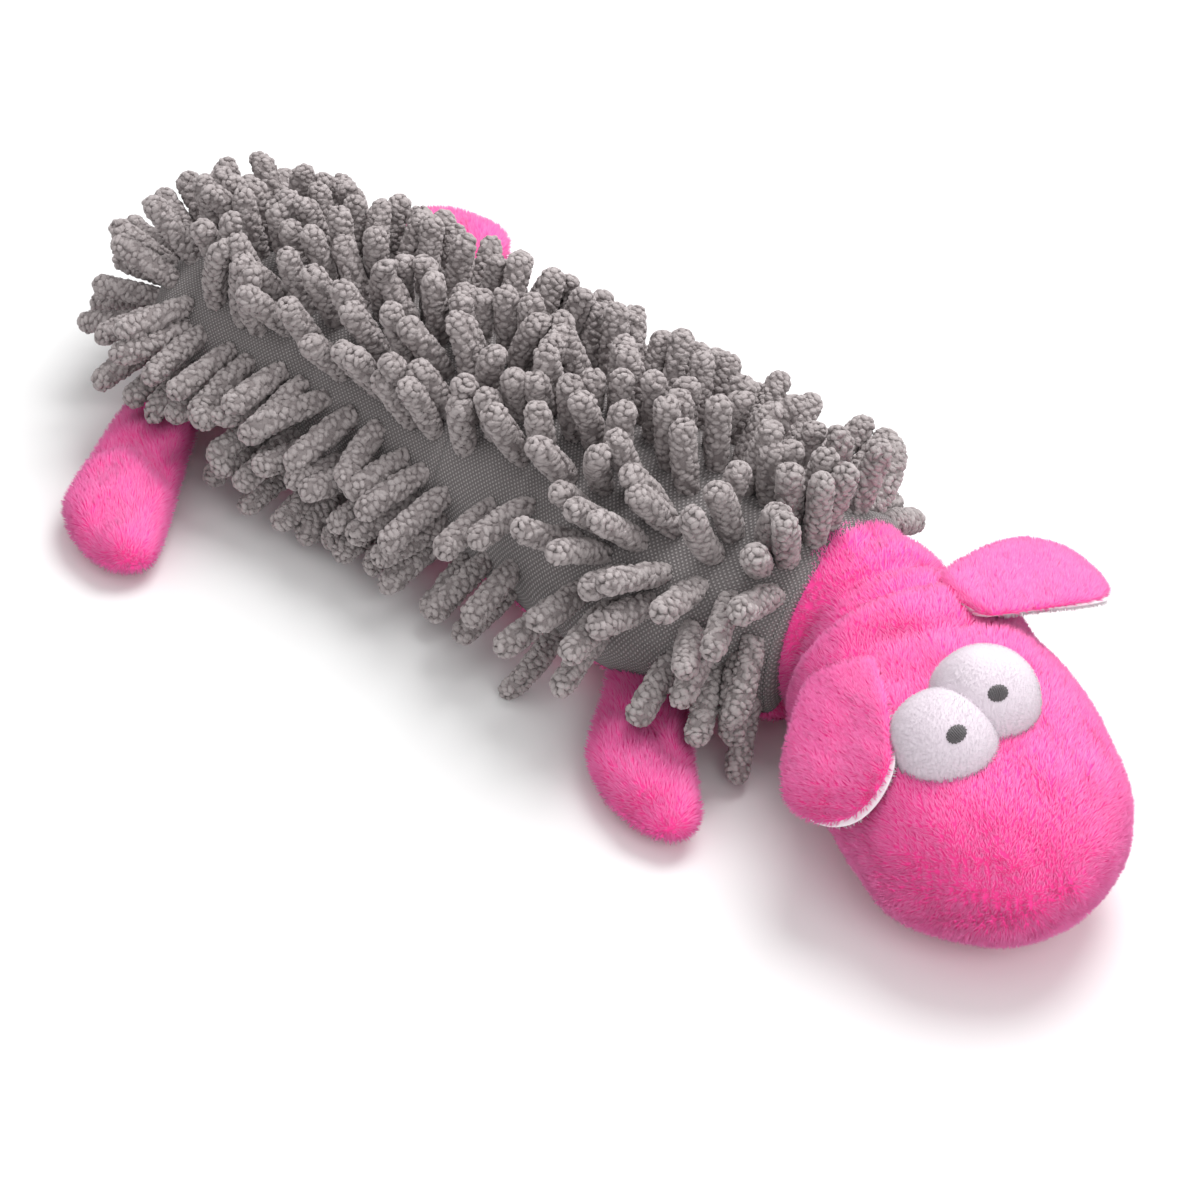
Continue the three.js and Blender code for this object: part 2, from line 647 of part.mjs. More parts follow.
// The half of the face's frame on one side of its middle line, inset by a distance.
function faceHalf(side, inset) {
  const wide = torso.length;
  const y = side > 0 ? [inset, wide] : [-wide, -inset];
  return block([-wide, y[0], -wide], [wide, y[1], wide]);
}
for (const [name, side, pupil] of [["left", 1, leftPupil], ["right", -1, rightPupil]]) {
  const group = new THREE.Group();
  group.position.set(headStart + eye.x, side * eye.y, eye.z - neckHeight);
  group.rotation.set(-side * eye.spread, eye.pitch, 0);
  faceGroup.add(group);
  const fromHead = placeOf(group).invert().multiply(placeOf(headGroup)).elements;
  const fromFace = placeOf(group).invert().multiply(placeOf(faceGroup)).elements;
  const headCut = headClear.transform(fromHead);
  const inset = (distance) => faceHalf(side, distance).transform(fromFace);
  const shell = eyeDome(0, eyeSink).intersect(inset(layerGap / 2));
  const hollowInset = layerGap / 2 + eyeShell;
  const hollow = eyeDome(-eyeShell, eyeSink + overrun).intersect(inset(hollowInset));
  const wadShape = eyeDome(-eyeShell - layerGap, eyeSink).intersect(inset(hollowInset + layerGap));
  addPiece(group, "eye_pad_" + name, shell.subtract(hollow).subtract(headCut), white);
  addPiece(group, "eye_wad_" + name, wadShape.subtract(headCut), wadding);
  const domeClear = eyeDome(layerGap, eyeSink);
  const pupilY = -side * pupil.inward;
  const pupilStalk = drum(pupilRadius, 0, eye.rise * 2, pupil.forward, pupilY, pupilSides);
  const pupilTop = eyeDome(layerGap + pupilThickness, eyeSink);
  addPiece(group, "pupil_" + name, pupilStalk.intersect(pupilTop).subtract(domeClear), darkThread);
}

// A flap cut clear of what carries it, also where it has swung about its pivot's X axis.
function cutSwung(solid, carrier, carrierGroup, swing, piece, angles) {
  const pivot = placeOf(swing);
  const toPiece = placeOf(piece).invert();
  return angles.reduce((rest, angle) => {
    const swung = pivot.clone().multiply(new THREE.Matrix4().makeRotationX(-angle));
    swung.multiply(pivot.clone().invert()).multiply(placeOf(carrierGroup));
    return rest.subtract(carrier.transform(toPiece.clone().multiply(swung).elements));
  }, solid);
}

// Ears: an outer layer of plush, arched over the head, and a lining inside its hem
const earForm = { ...ear, lifts: earArchShares.map((share) => share * earArch) };
const earOuter = formSolid({ ...earForm, depth: -layerGap }, 0, earMesh);
const liningLifts = earForm.lifts.map((lift) => lift - layerGap);
const liningForm = { ...earForm, rise: -layerGap, halfWidth: ear.halfWidth - earHem, lifts: liningLifts };
const earLining = formSolid(liningForm, 0, earMesh);
for (const { name, side, droop, sweep, roll } of earPlaces) {
  const swing = new THREE.Group();
  swing.name = "ear_" + name + "_pivot";
  swing.position.set(headStart + earRoot.x, side * earRoot.y, earRoot.z - neckHeight);
  swing.rotation.z = -side * sweep;
  faceGroup.add(swing);
  const flap = new THREE.Group();
  flap.rotation.set(-side * droop, roll, (side * Math.PI) / 2);
  swing.add(flap);
  const angles = earCutAngles.map((angle) => side * angle);
  const free = (solid) => cutSwung(solid, headClear, headGroup, swing, flap, angles);
  addPiece(flap, "ear_outer_" + name, free(earOuter), pink);
  addPiece(flap, "ear_lining_" + name, free(earLining), white);
}

// Legs: an upper and a sole panel round a thin wad, hinged along the side seam
for (const { name, side, x, y, length, forward, raise } of legPlaces) {
  const swing = new THREE.Group();
  swing.name = "leg_" + name + "_pivot";
  swing.position.set(x, side * y, legRootHeight);
  swing.rotation.x = side * raise;
  toy.add(swing);
  const paddle = new THREE.Group();
  paddle.position.set(0, -side * legReach, 0);
  paddle.rotation.z = (side * Math.PI) / 2;
  swing.add(paddle);
  const form = {
    ...leg,
    length,
    drifts: leg.alongShares.map((share) => -side * forward * share),
    lifts: leg.alongShares.map((share) => (legFootHeight - legRootHeight) * share),
  };
  const outer = formSolid(form, 0, legMesh);
  const inner = formSolid(form, -plushThickness, legMesh, overrun);
  const fill = formSolid(form, -plushThickness - layerGap, legMesh);
  const split = (solid, gap, up) => {
    const slope = (legFootHeight - legRootHeight) / length;
    const lie = new THREE.Matrix4().makeRotationY(-Math.atan(slope));
    return solid.intersect((up ? above(gap / 2) : below(-gap / 2)).transform(lie.elements));
  };
  const angles = legCutAngles.map((angle) => side * angle);
  const cut = (solid) => cutSwung(solid, torsoClear, toy, swing, paddle, angles);
  const shell = cut(outer.subtract(inner));
  addPiece(paddle, "leg_upper_" + name, split(shell, layerGap, true), pink);
  addPiece(paddle, "leg_sole_" + name, split(shell, layerGap, false), pink);
  addPiece(paddle, "leg_stuffing_" + name, cut(fill), wadding);
}

export default toy;
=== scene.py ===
# The looks of a stuffed, squeaking dog toy: a long grey body covered with chenille noodles,
# a pink plush head and legs, two flap ears and domed velour eyes.
# All sizes are in millimetres, and new_piece turns them into metres.
import json
import math

import bpy
import numpy as np
from mathutils import Matrix


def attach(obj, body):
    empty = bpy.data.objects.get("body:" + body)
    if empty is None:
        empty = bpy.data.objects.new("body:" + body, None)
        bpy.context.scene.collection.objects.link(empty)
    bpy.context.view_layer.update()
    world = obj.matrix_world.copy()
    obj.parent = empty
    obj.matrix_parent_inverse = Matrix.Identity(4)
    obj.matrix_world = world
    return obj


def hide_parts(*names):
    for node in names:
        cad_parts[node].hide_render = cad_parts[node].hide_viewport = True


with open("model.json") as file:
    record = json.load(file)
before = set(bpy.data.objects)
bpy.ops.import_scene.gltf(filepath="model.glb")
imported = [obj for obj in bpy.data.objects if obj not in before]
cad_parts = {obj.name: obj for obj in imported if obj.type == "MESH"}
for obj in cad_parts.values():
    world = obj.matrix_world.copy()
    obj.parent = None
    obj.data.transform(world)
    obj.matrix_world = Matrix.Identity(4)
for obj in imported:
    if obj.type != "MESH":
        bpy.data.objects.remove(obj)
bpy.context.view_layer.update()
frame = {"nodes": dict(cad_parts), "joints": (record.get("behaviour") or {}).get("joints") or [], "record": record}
joints = {joint["name"]: joint for joint in frame["joints"]}

MM = 0.001
WELD = 0.002
WAVE_COUNT = 12
UP = np.array([0.0, 0.0, 1.0])
FORWARD = np.array([1.0, 0.0, 0.0])
QUARTER = math.pi / 2

# The photograph's viewing angle, as an azimuth and a height above the floor
CAMERA_AZIMUTH = math.radians(39)
CAMERA_ELEVATION = math.radians(42)
CAMERA_DISTANCE = 830
CAMERA_TARGET = np.array([79.8, -38.61, 30.0])
CAMERA_LENS = 81
FILM_WIDTH = 36

# An even surround, two soft lamps with their places and powers, and the floor. Between the two
# distances of FLOOR_FADE, in metres, the floor turns to plain white for the camera.
WORLD_LIGHT = 0.74
LAMPS = {"lamp_above": ((60, 420, 880), 9.2), "lamp_right": ((850, -350, 700), 3.2)}
LAMP_SIZE = 700
LAMP_TARGET = np.array([20.0, 0, 30])
FLOOR_REACH = 3000
FLOOR_DROP = 0.05
FLOOR_FADE = (0.3, 0.7)

# Torso: a long bag, closed at the rump and open at the neck. Shares follow its length and sizes.
TORSO = {
    "length": 280, "half_width": 38, "middle": 27, "rise": 39, "depth": 27.5,
    "start_cap": 30, "end_cap": 0, "power": 2.3,
    "along_shares": [0, 0.1, 0.25, 0.45, 0.62, 0.78, 0.9, 1],
    "wide_shares": [0.86, 0.94, 1, 0.99, 1.04, 1.16, 1.08, 0.95],
    "rise_shares": [0.76, 0.87, 0.95, 0.95, 1, 1.02, 0.96, 0.9],
    "depth_shares": [0.9, 1, 1, 1, 1, 1, 1, 1],
    "drifts": [0, 0, 0, 0, -3, -7, -6, 0],
}
RUMP_X = -TORSO["length"] / 2
RUMP_SPREAD = 0.75
SEAM_HEIGHT = 14
SEAM_WIDTH = 1
SEAM_TOP = SEAM_HEIGHT + SEAM_WIDTH / 2
SEAM_CLEARANCE = 0.2
CROSS_SEAM = 12 - RUMP_X
CLOTH_THICKNESS = 1.2
CLOTH_GIRTH = TORSO["half_width"] * 1.7
GROUND_ROWS = 70
GROUND_COLUMNS = 48

# The mouth's edge: how deep it turns in, over which share of its rows, and how far it rolls forward.
# From there it runs to just inside the nape's skin. The belly's edge lies behind and laps over it.
MOUTH_HEM = 4.0
HEM_TURN_SHARE = 0.4
HEM_ROLL = 2
HEM_ROWS = 10
NAPE_TUCK = 1.5
BELLY_LAP = 1.5
BELLY_BEHIND = 1.0

# Noodles: chenille tubes, sewn to the cover in rows. Spreads give a least and a greatest share.
NOODLE_LENGTH = 26
NOODLE_LENGTH_SPREAD = (0.9, 1.1)
NOODLE_RADIUS = 3.75
NOODLE_RADIUS_SPREAD = (0.93, 1.07)
NOODLE_ROOT_SHARE = 0.72
NOODLE_FULL_SHARE = 0.3
NOODLE_TIP_SHARE = 0.85
NOODLE_SUNK = 1.5
NOODLE_PITCH = 11.5
NOODLE_START_HEIGHT = 20
NOODLE_LEAN = math.radians(9)
NOODLE_WAVE = 140
NOODLE_DROOP = math.radians(16)
NOODLE_DROOP_SHARE = 0.55
NOODLE_ARC_START = math.radians(30)
NOODLE_ARC_SHARE = 1.5
NOODLE_SEAM_GAP = 5
NOODLE_CREST_GAP = 3
NOODLE_START = 1.5
NOODLE_END = TORSO["length"] - 3
NOODLE_BEND = 2.2
NOODLE_BENT_SHARE = 0.14
NOODLE_BENT_MORE = 6
NOODLE_SAG = 1.2
ROOT_SCATTER = 1.3
ARC_SCATTER = 0.035
LEAN_SCATTER = 0.09
TIP_HEIGHT = 6
FLOOR_CLEARANCE = 0.1
FRONT_LEAN = math.radians(3)
FRONT_LEAN_LENGTH = 50
FRONT_DROOP = math.radians(32)
REAR_LEAN = 0.1
REAR_LEAN_END = 170
REAR_LEAN_LENGTH = 60
PROFILE_STEPS = 60
CORE_SHARES = [0, 0.2, 0.45, 0.7, 0.88, 0.97]
CORE_SIDES = 8
CORE_SWELL = 0.1
NUBS_PER_NOODLE = 120
NUB_TURN = 2.399963
NUB_SIDES = 5
NUB_WIDTH = 2.0
NUB_LENGTH = 1.3
NUB_HEIGHT = 0.8
NUB_SUNK = 0.55
NUB_CROWN_SHARE = 0.7
NUB_CROWN_HEIGHT_SHARE = 0.55

# Partings, where the noodles lie apart and bare cloth shows. Each runs through places on a side of
# the cover: millimetres from the middle of the toy, and degrees up the arc from the side's widest.
# Noodles stand off it by its bare width and lean away from it by its lean, up to its reach.
FLANK = [(-116, 48), (-69, 38), (-25, 34), (10, 37), (34, 38), (50, 43)]
VALLEY = [(14, 26), (35, 10), (66, -13)]
RIDGE = [(103, 90), (104, 61), (112, 37), (115, 10)]
PARTINGS = {
    -1: [(FLANK, 4.5, 0.6, 20), (VALLEY, 5.0, 0.1, 14), (RIDGE, 4.5, 0.3, 14)],
    1: [(FLANK, 4.0, 0.5, 20), (RIDGE, 4.0, 0.2, 14)],
}
ARC_RADIUS = 40

# The right side's lower shoulder, where some noodles are left out
SPARSE_X = (14, 78)
SPARSE_ARC = math.radians(48)
SPARSE_KEPT = 0.75

# Plush pile: strands that lean with a broad flow, towards their tuft and a little astray
PILE_LENGTH = 2.3
PILE_WIDTH = 0.56
PILE_SUNK = 0.4
PILE_HEIGHT_SPREAD = (0.75, 1.05)
PILE_FLOW = 0.3
PILE_FLOW_WIDTH = 14
PILE_TUFT = 0.7
PILE_TUFT_WIDTH = 3.2
PILE_ASTRAY = 0.13
# Where strand bases sit between the painted-shade root colour (0) and the tip colour (1)
PILE_BASE_SHADE_MIX = 0.15
PILE_SIDE_NORMAL = 0.4
PILE_TIP_NORMAL = 1.6
SKIN_TONE = 0.3
BELLY_PILE = 1.6
SOLE_PILE = 2.2

# Neck and head. A fold has its place along the neck, its sway round it, its reach and its depth share.
NECK_RADIUS = 30
NECK_SPAN = 26
NECK_HEIGHT = 31.5
NAPE_SWELL = 0.03
NAPE_FOLDS = [(15, 5, 3.5, 0.10), (4, -6, 3, 0.05)]
NAPE_SKIRT_SHARE = 0.75
NAPE_FLOOR = 1.6
HEAD_START = 6
HEAD = {
    "length": 96, "half_width": 40, "middle": 30 - NECK_HEIGHT, "rise": 32, "depth": 30.5,
    "start_cap": 0, "end_cap": 34, "power": 2.15,
    "along_shares": [0, 0.15, 0.4, 0.7, 1],
    "wide_shares": [0.88, 0.97, 1.02, 0.97, 0.8],
    "rise_shares": [1, 1, 0.94, 0.78, 0.55],
    "depth_shares": [1, 1, 1, 1, 0.9],
}
CHIN_SEAM_HEIGHT = 12
FACE_ROLL = math.radians(18)
FACE_TURN = math.radians(5)
HEAD_SPREAD = 1.15
HEAD_LUMP = 0.7
HEAD_LUMP_START = 12
HEAD_FULLER = 2.2
HEAD_FULLER_REACH = 22
HEAD_FLOOR = 1.2
HEAD_ROLL = 5.5
HEAD_ROLL_SHARE = 0.1
CREASE_PLACE = 11
CREASE_DEPTH = 2.4
CREASE_REACH = 5
CREASE_SWAY = 1.5

# Eyes: domes whose walls run down into the face, each shifted to where the photograph has it
EYE_RADIUS = 15.5
EYE_RISE = 14.5
EYE_PLACE = (43, 9, 55)
EYE_SPREAD = math.radians(20)
EYE_PITCH = math.radians(34)
EYE_SINK = 10
EYE_WALL_SHARE = 0.2
EYE_HEM = 0.8
EYE_SHIFT = {1: (-2.5, -1.5, 1.0), -1: (4.5, -1.0, 2.0)}
PUPILS = {"left": (1.5, 2.6), "right": (1.3, 6.0)}
PUPIL_SIZE = (2.4, 3.0)
PUPIL_HEIGHT = 0.9
PUPIL_EDGE_SUNK = 0.4
STITCH_PITCH = 0.55
STITCH_HEIGHT = 0.12

# Ears
EAR = {
    "length": 50, "half_width": 17.5, "middle": 0, "rise": 2.8, "depth": 2.8,
    "start_cap": 4, "end_cap": 15, "power": 2.2,
    "along_shares": [0, 0.25, 0.6, 0.85, 1],
    "wide_shares": [0.55, 0.8, 1, 0.95, 0.85],
    "rise_shares": [1, 1, 1, 1, 1],
    "depth_shares": [1, 1, 1, 1, 1],
}
EAR_LINING_WIDE_SHARES = [0.5, 0.76, 0.98, 0.95, 0.85]
EAR_ARCH = 6
EAR_ARCH_SHARES = [0, 0.5, 0.95, 0.95, 0.7]
EARS = {
    "left": {"side": 1, "droop": math.radians(35.6), "roll": math.radians(5.8)},
    "right": {"side": -1, "droop": math.radians(9.3), "roll": math.radians(-13)},
}
EAR_PILE_LENGTHEN = 2.5
EAR_LINING_SHOWS = 1.5
EAR_LINING_SHIFT = 1.2
EAR_LINING_UPPER = 0.35
EAR_THINNER = 0.9
EAR_LIFT = 0.15
EAR_LINING_DROP = 0.3
EAR_FRONT_UP = 1.8
EAR_REAR_DOWN = 2.0
EAR_COVERED = 0.8
EAR_ROOT_BARE = 9

# Legs: flat paddles whose closed root reaches in past the stuffing. The upper has one soft fold.
LEG = {
    "length": 76, "half_width": 20.5, "middle": 0, "rise": 8, "depth": 8,
    "start_cap": 0, "end_cap": 14, "power": 2.2,
    "along_shares": [0, 0.2, 0.5, 0.8, 1],
    "wide_shares": [0.66, 0.7, 0.86, 1, 0.95],
    "rise_shares": [0.7, 0.8, 0.95, 1, 0.9],
    "depth_shares": [0.7, 0.8, 0.95, 1, 0.9],
}
LEG_ROOT_HEIGHT = 12
LEG_FOOT_HEIGHT = 8.6
LEG_REACH = 9
LEG_TOP = 25
LEG_ROOM = 6
LEG_SWING_ROOM = 5
LEG_START = -0.5
LEG_ROWS = 56
LEG_LUMP = 0.8
LEG_SOLE_LUMP_SHARE = 0.2
LEG_PANEL_GAP = 0.1
LEG_FLOOR = 1.0
LEG_FOLD_SHARE = 0.5
LEG_FOLD_DEPTH = 3.2
LEG_FOLD_REACH = 4.0
LEG_FOLD_SWAY = 2.5
LEG_NAP = np.array([-0.45, 0.45, 0.0])
LEG_STRANDS_PER_MM = 150
LEGS = {
    "rear_left": {"side": 1, "length": 76, "forward": 20, "raise": math.radians(8)},
    "rear_right": {"side": -1, "length": 76, "forward": 41, "raise": 0},
    "front_left": {"side": 1, "length": 52, "forward": 6, "raise": 0},
    "front_right": {"side": -1, "length": 52, "forward": 38, "raise": 0},
}


# Small vector helpers
def unit(vectors):
    """Vectors of length one, each divided by its own length."""
    return vectors / np.maximum(np.linalg.norm(vectors, axis=-1, keepdims=True), 1e-9)


def turn(axis, angle):
    """The matrix of a turn about x, y or z, which are axes 0, 1 and 2."""
    c, s = math.cos(angle), math.sin(angle)
    a, b = (axis + 1) % 3, (axis + 2) % 3
    matrix = np.eye(3)
    matrix[[a, b, a, b], [a, b, b, a]] = c, c, -s, s
    return matrix


def placed(points, origin, axes):
    """Points of a group's own frame in the part's frame."""
    return points @ axes.T + origin


def round_section(angle, first, second):
    """Unit vectors at angles in the plane of two axes: cos times the first and sin times the second."""
    return np.cos(angle)[..., None] * first + np.sin(angle)[..., None] * second


def wave_train(points, wavelength, seed):
    """Sine waves of about one wavelength in random directions: their steps, and phases at points."""
    rng = np.random.default_rng(seed)
    steps = unit(rng.normal(size=(WAVE_COUNT, 3))) * rng.uniform(0.75, 1.35, (WAVE_COUNT, 1))
    phase = rng.uniform(0, 2 * np.pi, WAVE_COUNT)
    return steps, points @ (steps * 2 * np.pi / wavelength).T + phase


def waves(points, wavelength, seed):
    """A smooth random height: the waves added up."""
    return np.sin(wave_train(points, wavelength, seed)[1]).sum(-1) / math.sqrt(WAVE_COUNT)


def wave_slopes(points, wavelength, seed):
    """The slopes of the same waves, as vectors of about unit length."""
    steps, phases = wave_train(points, wavelength, seed)
    return np.cos(phases) @ steps / math.sqrt(WAVE_COUNT / 2)


# Soft forms: a superellipse section carried along a straight line
def smooth_table(places, values, at):
    """A smooth curve through a table: cubics whose slopes come from the neighbouring values."""
    places = np.asarray(places, float)
    values = np.asarray(values, float)
    last = len(places) - 1
    before = np.maximum(np.arange(last + 1) - 1, 0)
    after = np.minimum(np.arange(last + 1) + 1, last)
    slopes = (values[after] - values[before]) / (places[after] - places[before])
    i = np.clip(np.searchsorted(places, at, side="left") - 1, 0, last - 1)
    span = places[i + 1] - places[i]
    t = np.clip((at - places[i]) / span, 0, 1)
    rest = 1 - t
    start = values[i] * rest ** 2 * (1 + 2 * t) + slopes[i] * span * t * rest ** 2
    return start + values[i + 1] * t ** 2 * (1 + 2 * rest) - slopes[i + 1] * span * t ** 2 * rest


def cap_share(distance, cap):
    """A round end closes a form as an ellipse does: 0 at the tip, 1 where the cap ends."""
    if cap <= 0:
        return np.ones_like(distance)
    left = 1 - np.clip(distance, 0, cap) / cap
    return np.sqrt(np.clip(1 - left ** 2, 0, 1))


def section(form, distance, grow=0.0):
    """A form's half sizes and middle at distances along it, from its tables of shares."""
    share = np.clip(distance / form["length"], 0, 1)
    start = form["start_cap"] + grow if form["start_cap"] > 0 else 0
    end = form["end_cap"] + grow if form["end_cap"] > 0 else 0
    cap = cap_share(distance + grow, start) * cap_share(form["length"] + grow - distance, end)
    table = lambda name: smooth_table(form["along_shares"], form[name], share)
    drift = table("drifts") if "drifts" in form else 0 * share
    lift = table("lifts") if "lifts" in form else 0 * share
    return {
        "wide": (table("wide_shares") * form["half_width"] + grow) * cap,
        "rise": (table("rise_shares") * form["rise"] + grow) * cap,
        "depth": (table("depth_shares") * form["depth"] + grow) * cap,
        "middle": form["middle"] + lift,
        "drift": drift,
    }


def form_points(form, distance, angle, grow=0.0):
    """Points on a form: |cos| and |sin| of the angle, raised to 2 / power, times the half sizes."""
    s = section(form, distance, grow)
    soft = 2 / form["power"]
    c = np.cos(angle)
    n = np.sin(angle)
    y = s["drift"] + np.sign(c) * np.abs(c) ** soft * s["wide"]
    z = s["middle"] + np.sign(n) * np.abs(n) ** soft * np.where(n >= 0, s["rise"], s["depth"])
    return np.stack([distance + 0 * y, y, z], axis=-1)


def angle_at(form, distance, height):
    """The angle at which a form's section passes a height, on its left side."""
    s = section(form, distance)
    drop = height - s["middle"]
    half = np.maximum(np.where(drop >= 0, s["rise"], s["depth"]), 1e-6)
    share = np.clip(np.abs(drop) / half, 0, 1) ** (form["power"] / 2)
    return np.sign(drop) * np.arcsin(share)


# Shapes are dictionaries of arrays: points, triangles, and one value per point in each layer.
def patch(place, rows, columns, flip=False):
    """A grid surface: place(u, v) gives the points for shares u along it and v across it."""
    u, v = np.meshgrid(np.linspace(0, 1, rows + 1), np.linspace(0, 1, columns + 1), indexing="ij")
    index = np.arange(u.size).reshape(u.shape)
    a, b, c, d = index[:-1, :-1], index[1:, :-1], index[1:, 1:], index[:-1, 1:]
    corners = [(a, c, b), (a, d, c)] if flip else [(a, b, c), (a, c, d)]
    triangles = np.concatenate([np.stack(t, axis=-1).reshape(-1, 3) for t in corners])
    return welded({"points": place(u, v).reshape(-1, 3), "triangles": triangles,
                   "share": np.stack([u.ravel(), v.ravel()], axis=-1)})


def welded(shape):
    """Points that fall together become one, and faces that lose a corner by it are dropped."""
    keys = np.round(shape["points"] / WELD).astype(np.int64)
    _, first, new = np.unique(keys, axis=0, return_index=True, return_inverse=True)
    triangles = new.reshape(-1)[shape["triangles"]]
    a, b, c = triangles.T
    whole = (a != b) & (b != c) & (a != c)
    out = {name: layer[first] for name, layer in shape.items() if name != "triangles"}
    return {**out, "triangles": triangles[whole]}


def joined(shapes):
    """Several shapes as one, with the layers that they share."""
    names = set(shapes[0]).intersection(*shapes[1:]) - {"triangles"}
    starts = np.cumsum([0] + [len(s["points"]) for s in shapes[:-1]])
    out = {name: np.concatenate([s[name] for s in shapes]) for name in names}
    out["triangles"] = np.concatenate([s["triangles"] + start for s, start in zip(shapes, starts)])
    return out


def rested(shape, floor):
    """The shape with no point below a height, so that it lies flat there."""
    shape["points"][:, 2] = np.maximum(shape["points"][:, 2], floor)
    return shape


def with_normals(shape):
    """Adds each point's normal: the sum of its faces' normals, each as long as twice its area."""
    corners = shape["points"][shape["triangles"]]
    cross = np.cross(corners[:, 1] - corners[:, 0], corners[:, 2] - corners[:, 0])
    normals = np.zeros_like(shape["points"])
    for corner in range(3):
        for axis in range(3):
            normals[:, axis] += np.bincount(
                shape["triangles"][:, corner], cross[:, axis], len(normals))
    return {**shape, "normals": unit(normals)}


def new_piece(name, shape, material, values=(), normals=False):
    """A mesh object from a shape, in metres, with its layers as attributes."""
    mesh = bpy.data.meshes.new(name)
    count = len(shape["triangles"])
    mesh.vertices.add(len(shape["points"]))
    mesh.vertices.foreach_set("co", (shape["points"] * MM).astype(np.float32).ravel())
    mesh.loops.add(count * 3)
    mesh.loops.foreach_set("vertex_index", shape["triangles"].astype(np.int32).ravel())
    mesh.polygons.add(count)
    mesh.polygons.foreach_set("loop_start", np.arange(0, count * 3, 3, dtype=np.int32))
    mesh.polygons.foreach_set("use_smooth", np.ones(count, bool))
    for layer in values:
        attribute = mesh.attributes.new(layer, "FLOAT", "POINT")
        attribute.data.foreach_set("value", shape[layer].astype(np.float32))
    if "cloth" in shape:
        uv = mesh.uv_layers.new(name="cloth")
        uv.data.foreach_set("uv", shape["cloth"][shape["triangles"]].astype(np.float32).ravel())
    mesh.update(calc_edges=True)
    if normals:
        mesh.normals_split_custom_set_from_vertices(unit(shape["normals"]))
    mesh.materials.append(material)
    piece = bpy.data.objects.new(name, mesh)
    bpy.context.scene.collection.objects.link(piece)
    return piece


# Materials
def linear(code):
    """An sRGB hex colour as the linear numbers that a shader takes."""
    channels = [int(code[i:i + 2], 16) / 255 for i in (0, 2, 4)]
    return [c / 12.92 if c <= 0.04045 else ((c + 0.055) / 1.055) ** 2.4 for c in channels] + [1.0]


def add(tree, kind, sockets=None, **settings):
    """Adds a node with its settings. A socket takes a value, a hex colour or another node's output."""
    made = tree.nodes.new("ShaderNode" + kind)
    for key, value in settings.items():
        setattr(made, key, value)
    for key, value in (sockets or {}).items():
        if isinstance(value, bpy.types.NodeSocket):
            tree.links.new(value, made.inputs[key])
        else:
            made.inputs[key].default_value = linear(value) if isinstance(value, str) else value
    return made


def new_material(name, **constants):
    """A material with a principled shader whose constants are set on its own sockets."""
    material = bpy.data.materials.new(name)
    material.use_nodes = True
    shader = material.node_tree.nodes["Principled BSDF"]
    for key, value in constants.items():
        shader.inputs[key.replace("_", " ")].default_value = value
    return material, material.node_tree, shader


# Where a Mix node keeps two colours and their mixture, among its sockets for other kinds of data
MIX_A, MIX_B, MIXED = 6, 7, 2


def finish(tree, shader, share, low, high, height, relief_mm):
    """Gives the shader a colour that goes from low to high with a share, and the relief of a height."""
    colour = add(tree, "Mix", {0: share, MIX_A: low, MIX_B: high}, data_type="RGBA")
    relief = add(tree, "Bump", {"Strength": 1, "Distance": relief_mm * MM, "Height": height})
    tree.links.new(colour.outputs[MIXED], shader.inputs["Base Color"])
    tree.links.new(relief.outputs["Normal"], shader.inputs["Normal"])


def plush(name, root, tip, pale, area_mm=16):
    """Polyester plush, brushed: the root colour is painted shade between the strands, with pale tips and paler
    brushed areas.
    """
    material, tree, shader = new_material(
        name, Roughness=0.8, IOR=1.45, Specular_IOR_Level=0.15, Sheen_Weight=0.5,
        Sheen_Roughness=0.35, Sheen_Tint=linear(pale))
    tone = add(tree, "Attribute", attribute_name="tone").outputs["Fac"]
    along = add(tree, "Attribute", attribute_name="along").outputs["Fac"]
    place = add(tree, "TexCoord").outputs["Object"]
    areas = add(tree, "TexNoise", {"Vector": place, "Scale": 1 / (area_mm * MM), "Detail": 3}).outputs["Fac"]
    brushed = add(tree, "MapRange", {"Value": areas, "From Min": 0.42, "From Max": 0.68, "To Max": 0.36})
    tips = add(tree, "Mix", {0: tone, MIX_A: tip, MIX_B: pale}, data_type="RGBA").outputs[MIXED]
    tops = add(tree, "Mix", {0: brushed.outputs[0], MIX_A: tips, MIX_B: pale}, data_type="RGBA")
    # The root colour, at along 0, is painted shade: it darkens the depths between the strands and the skin under
    # them.
    colour = add(tree, "Mix", {0: along, MIX_A: root, MIX_B: tops.outputs[MIXED]}, data_type="RGBA")
    tree.links.new(colour.outputs[MIXED], shader.inputs["Base Color"])
    return material


def chenille():
    """Polyester chenille, looped: each nub is paler at its top and darker at its base, which is painted shade
    between the nubs, and the dye varies from nub to nub.
    """
    material, tree, shader = new_material(
        "grey_chenille_looped", Roughness=0.9, IOR=1.45, Specular_IOR_Level=0.15,
        Sheen_Weight=0.2, Sheen_Roughness=0.5, Sheen_Tint=linear("d8cfcf"))
    tone = add(tree, "Attribute", attribute_name="tone").outputs["Fac"]
    along = add(tree, "Attribute", attribute_name="along").outputs["Fac"]
    place = add(tree, "TexCoord").outputs["Object"]
    loops = add(tree, "TexNoise", {"Vector": place, "Scale": 1 / (0.9 * MM), "Detail": 3}).outputs["Fac"]
    tops = add(tree, "Mix", {0: tone, MIX_A: "9f9797", MIX_B: "b3abab"}, data_type="RGBA").outputs[MIXED]
    # The colour at along 0, 8b8383, is painted shade for the nubs' bases and the core between them.
    finish(tree, shader, along, "8b8383", tops, loops, 0.6)
    return material


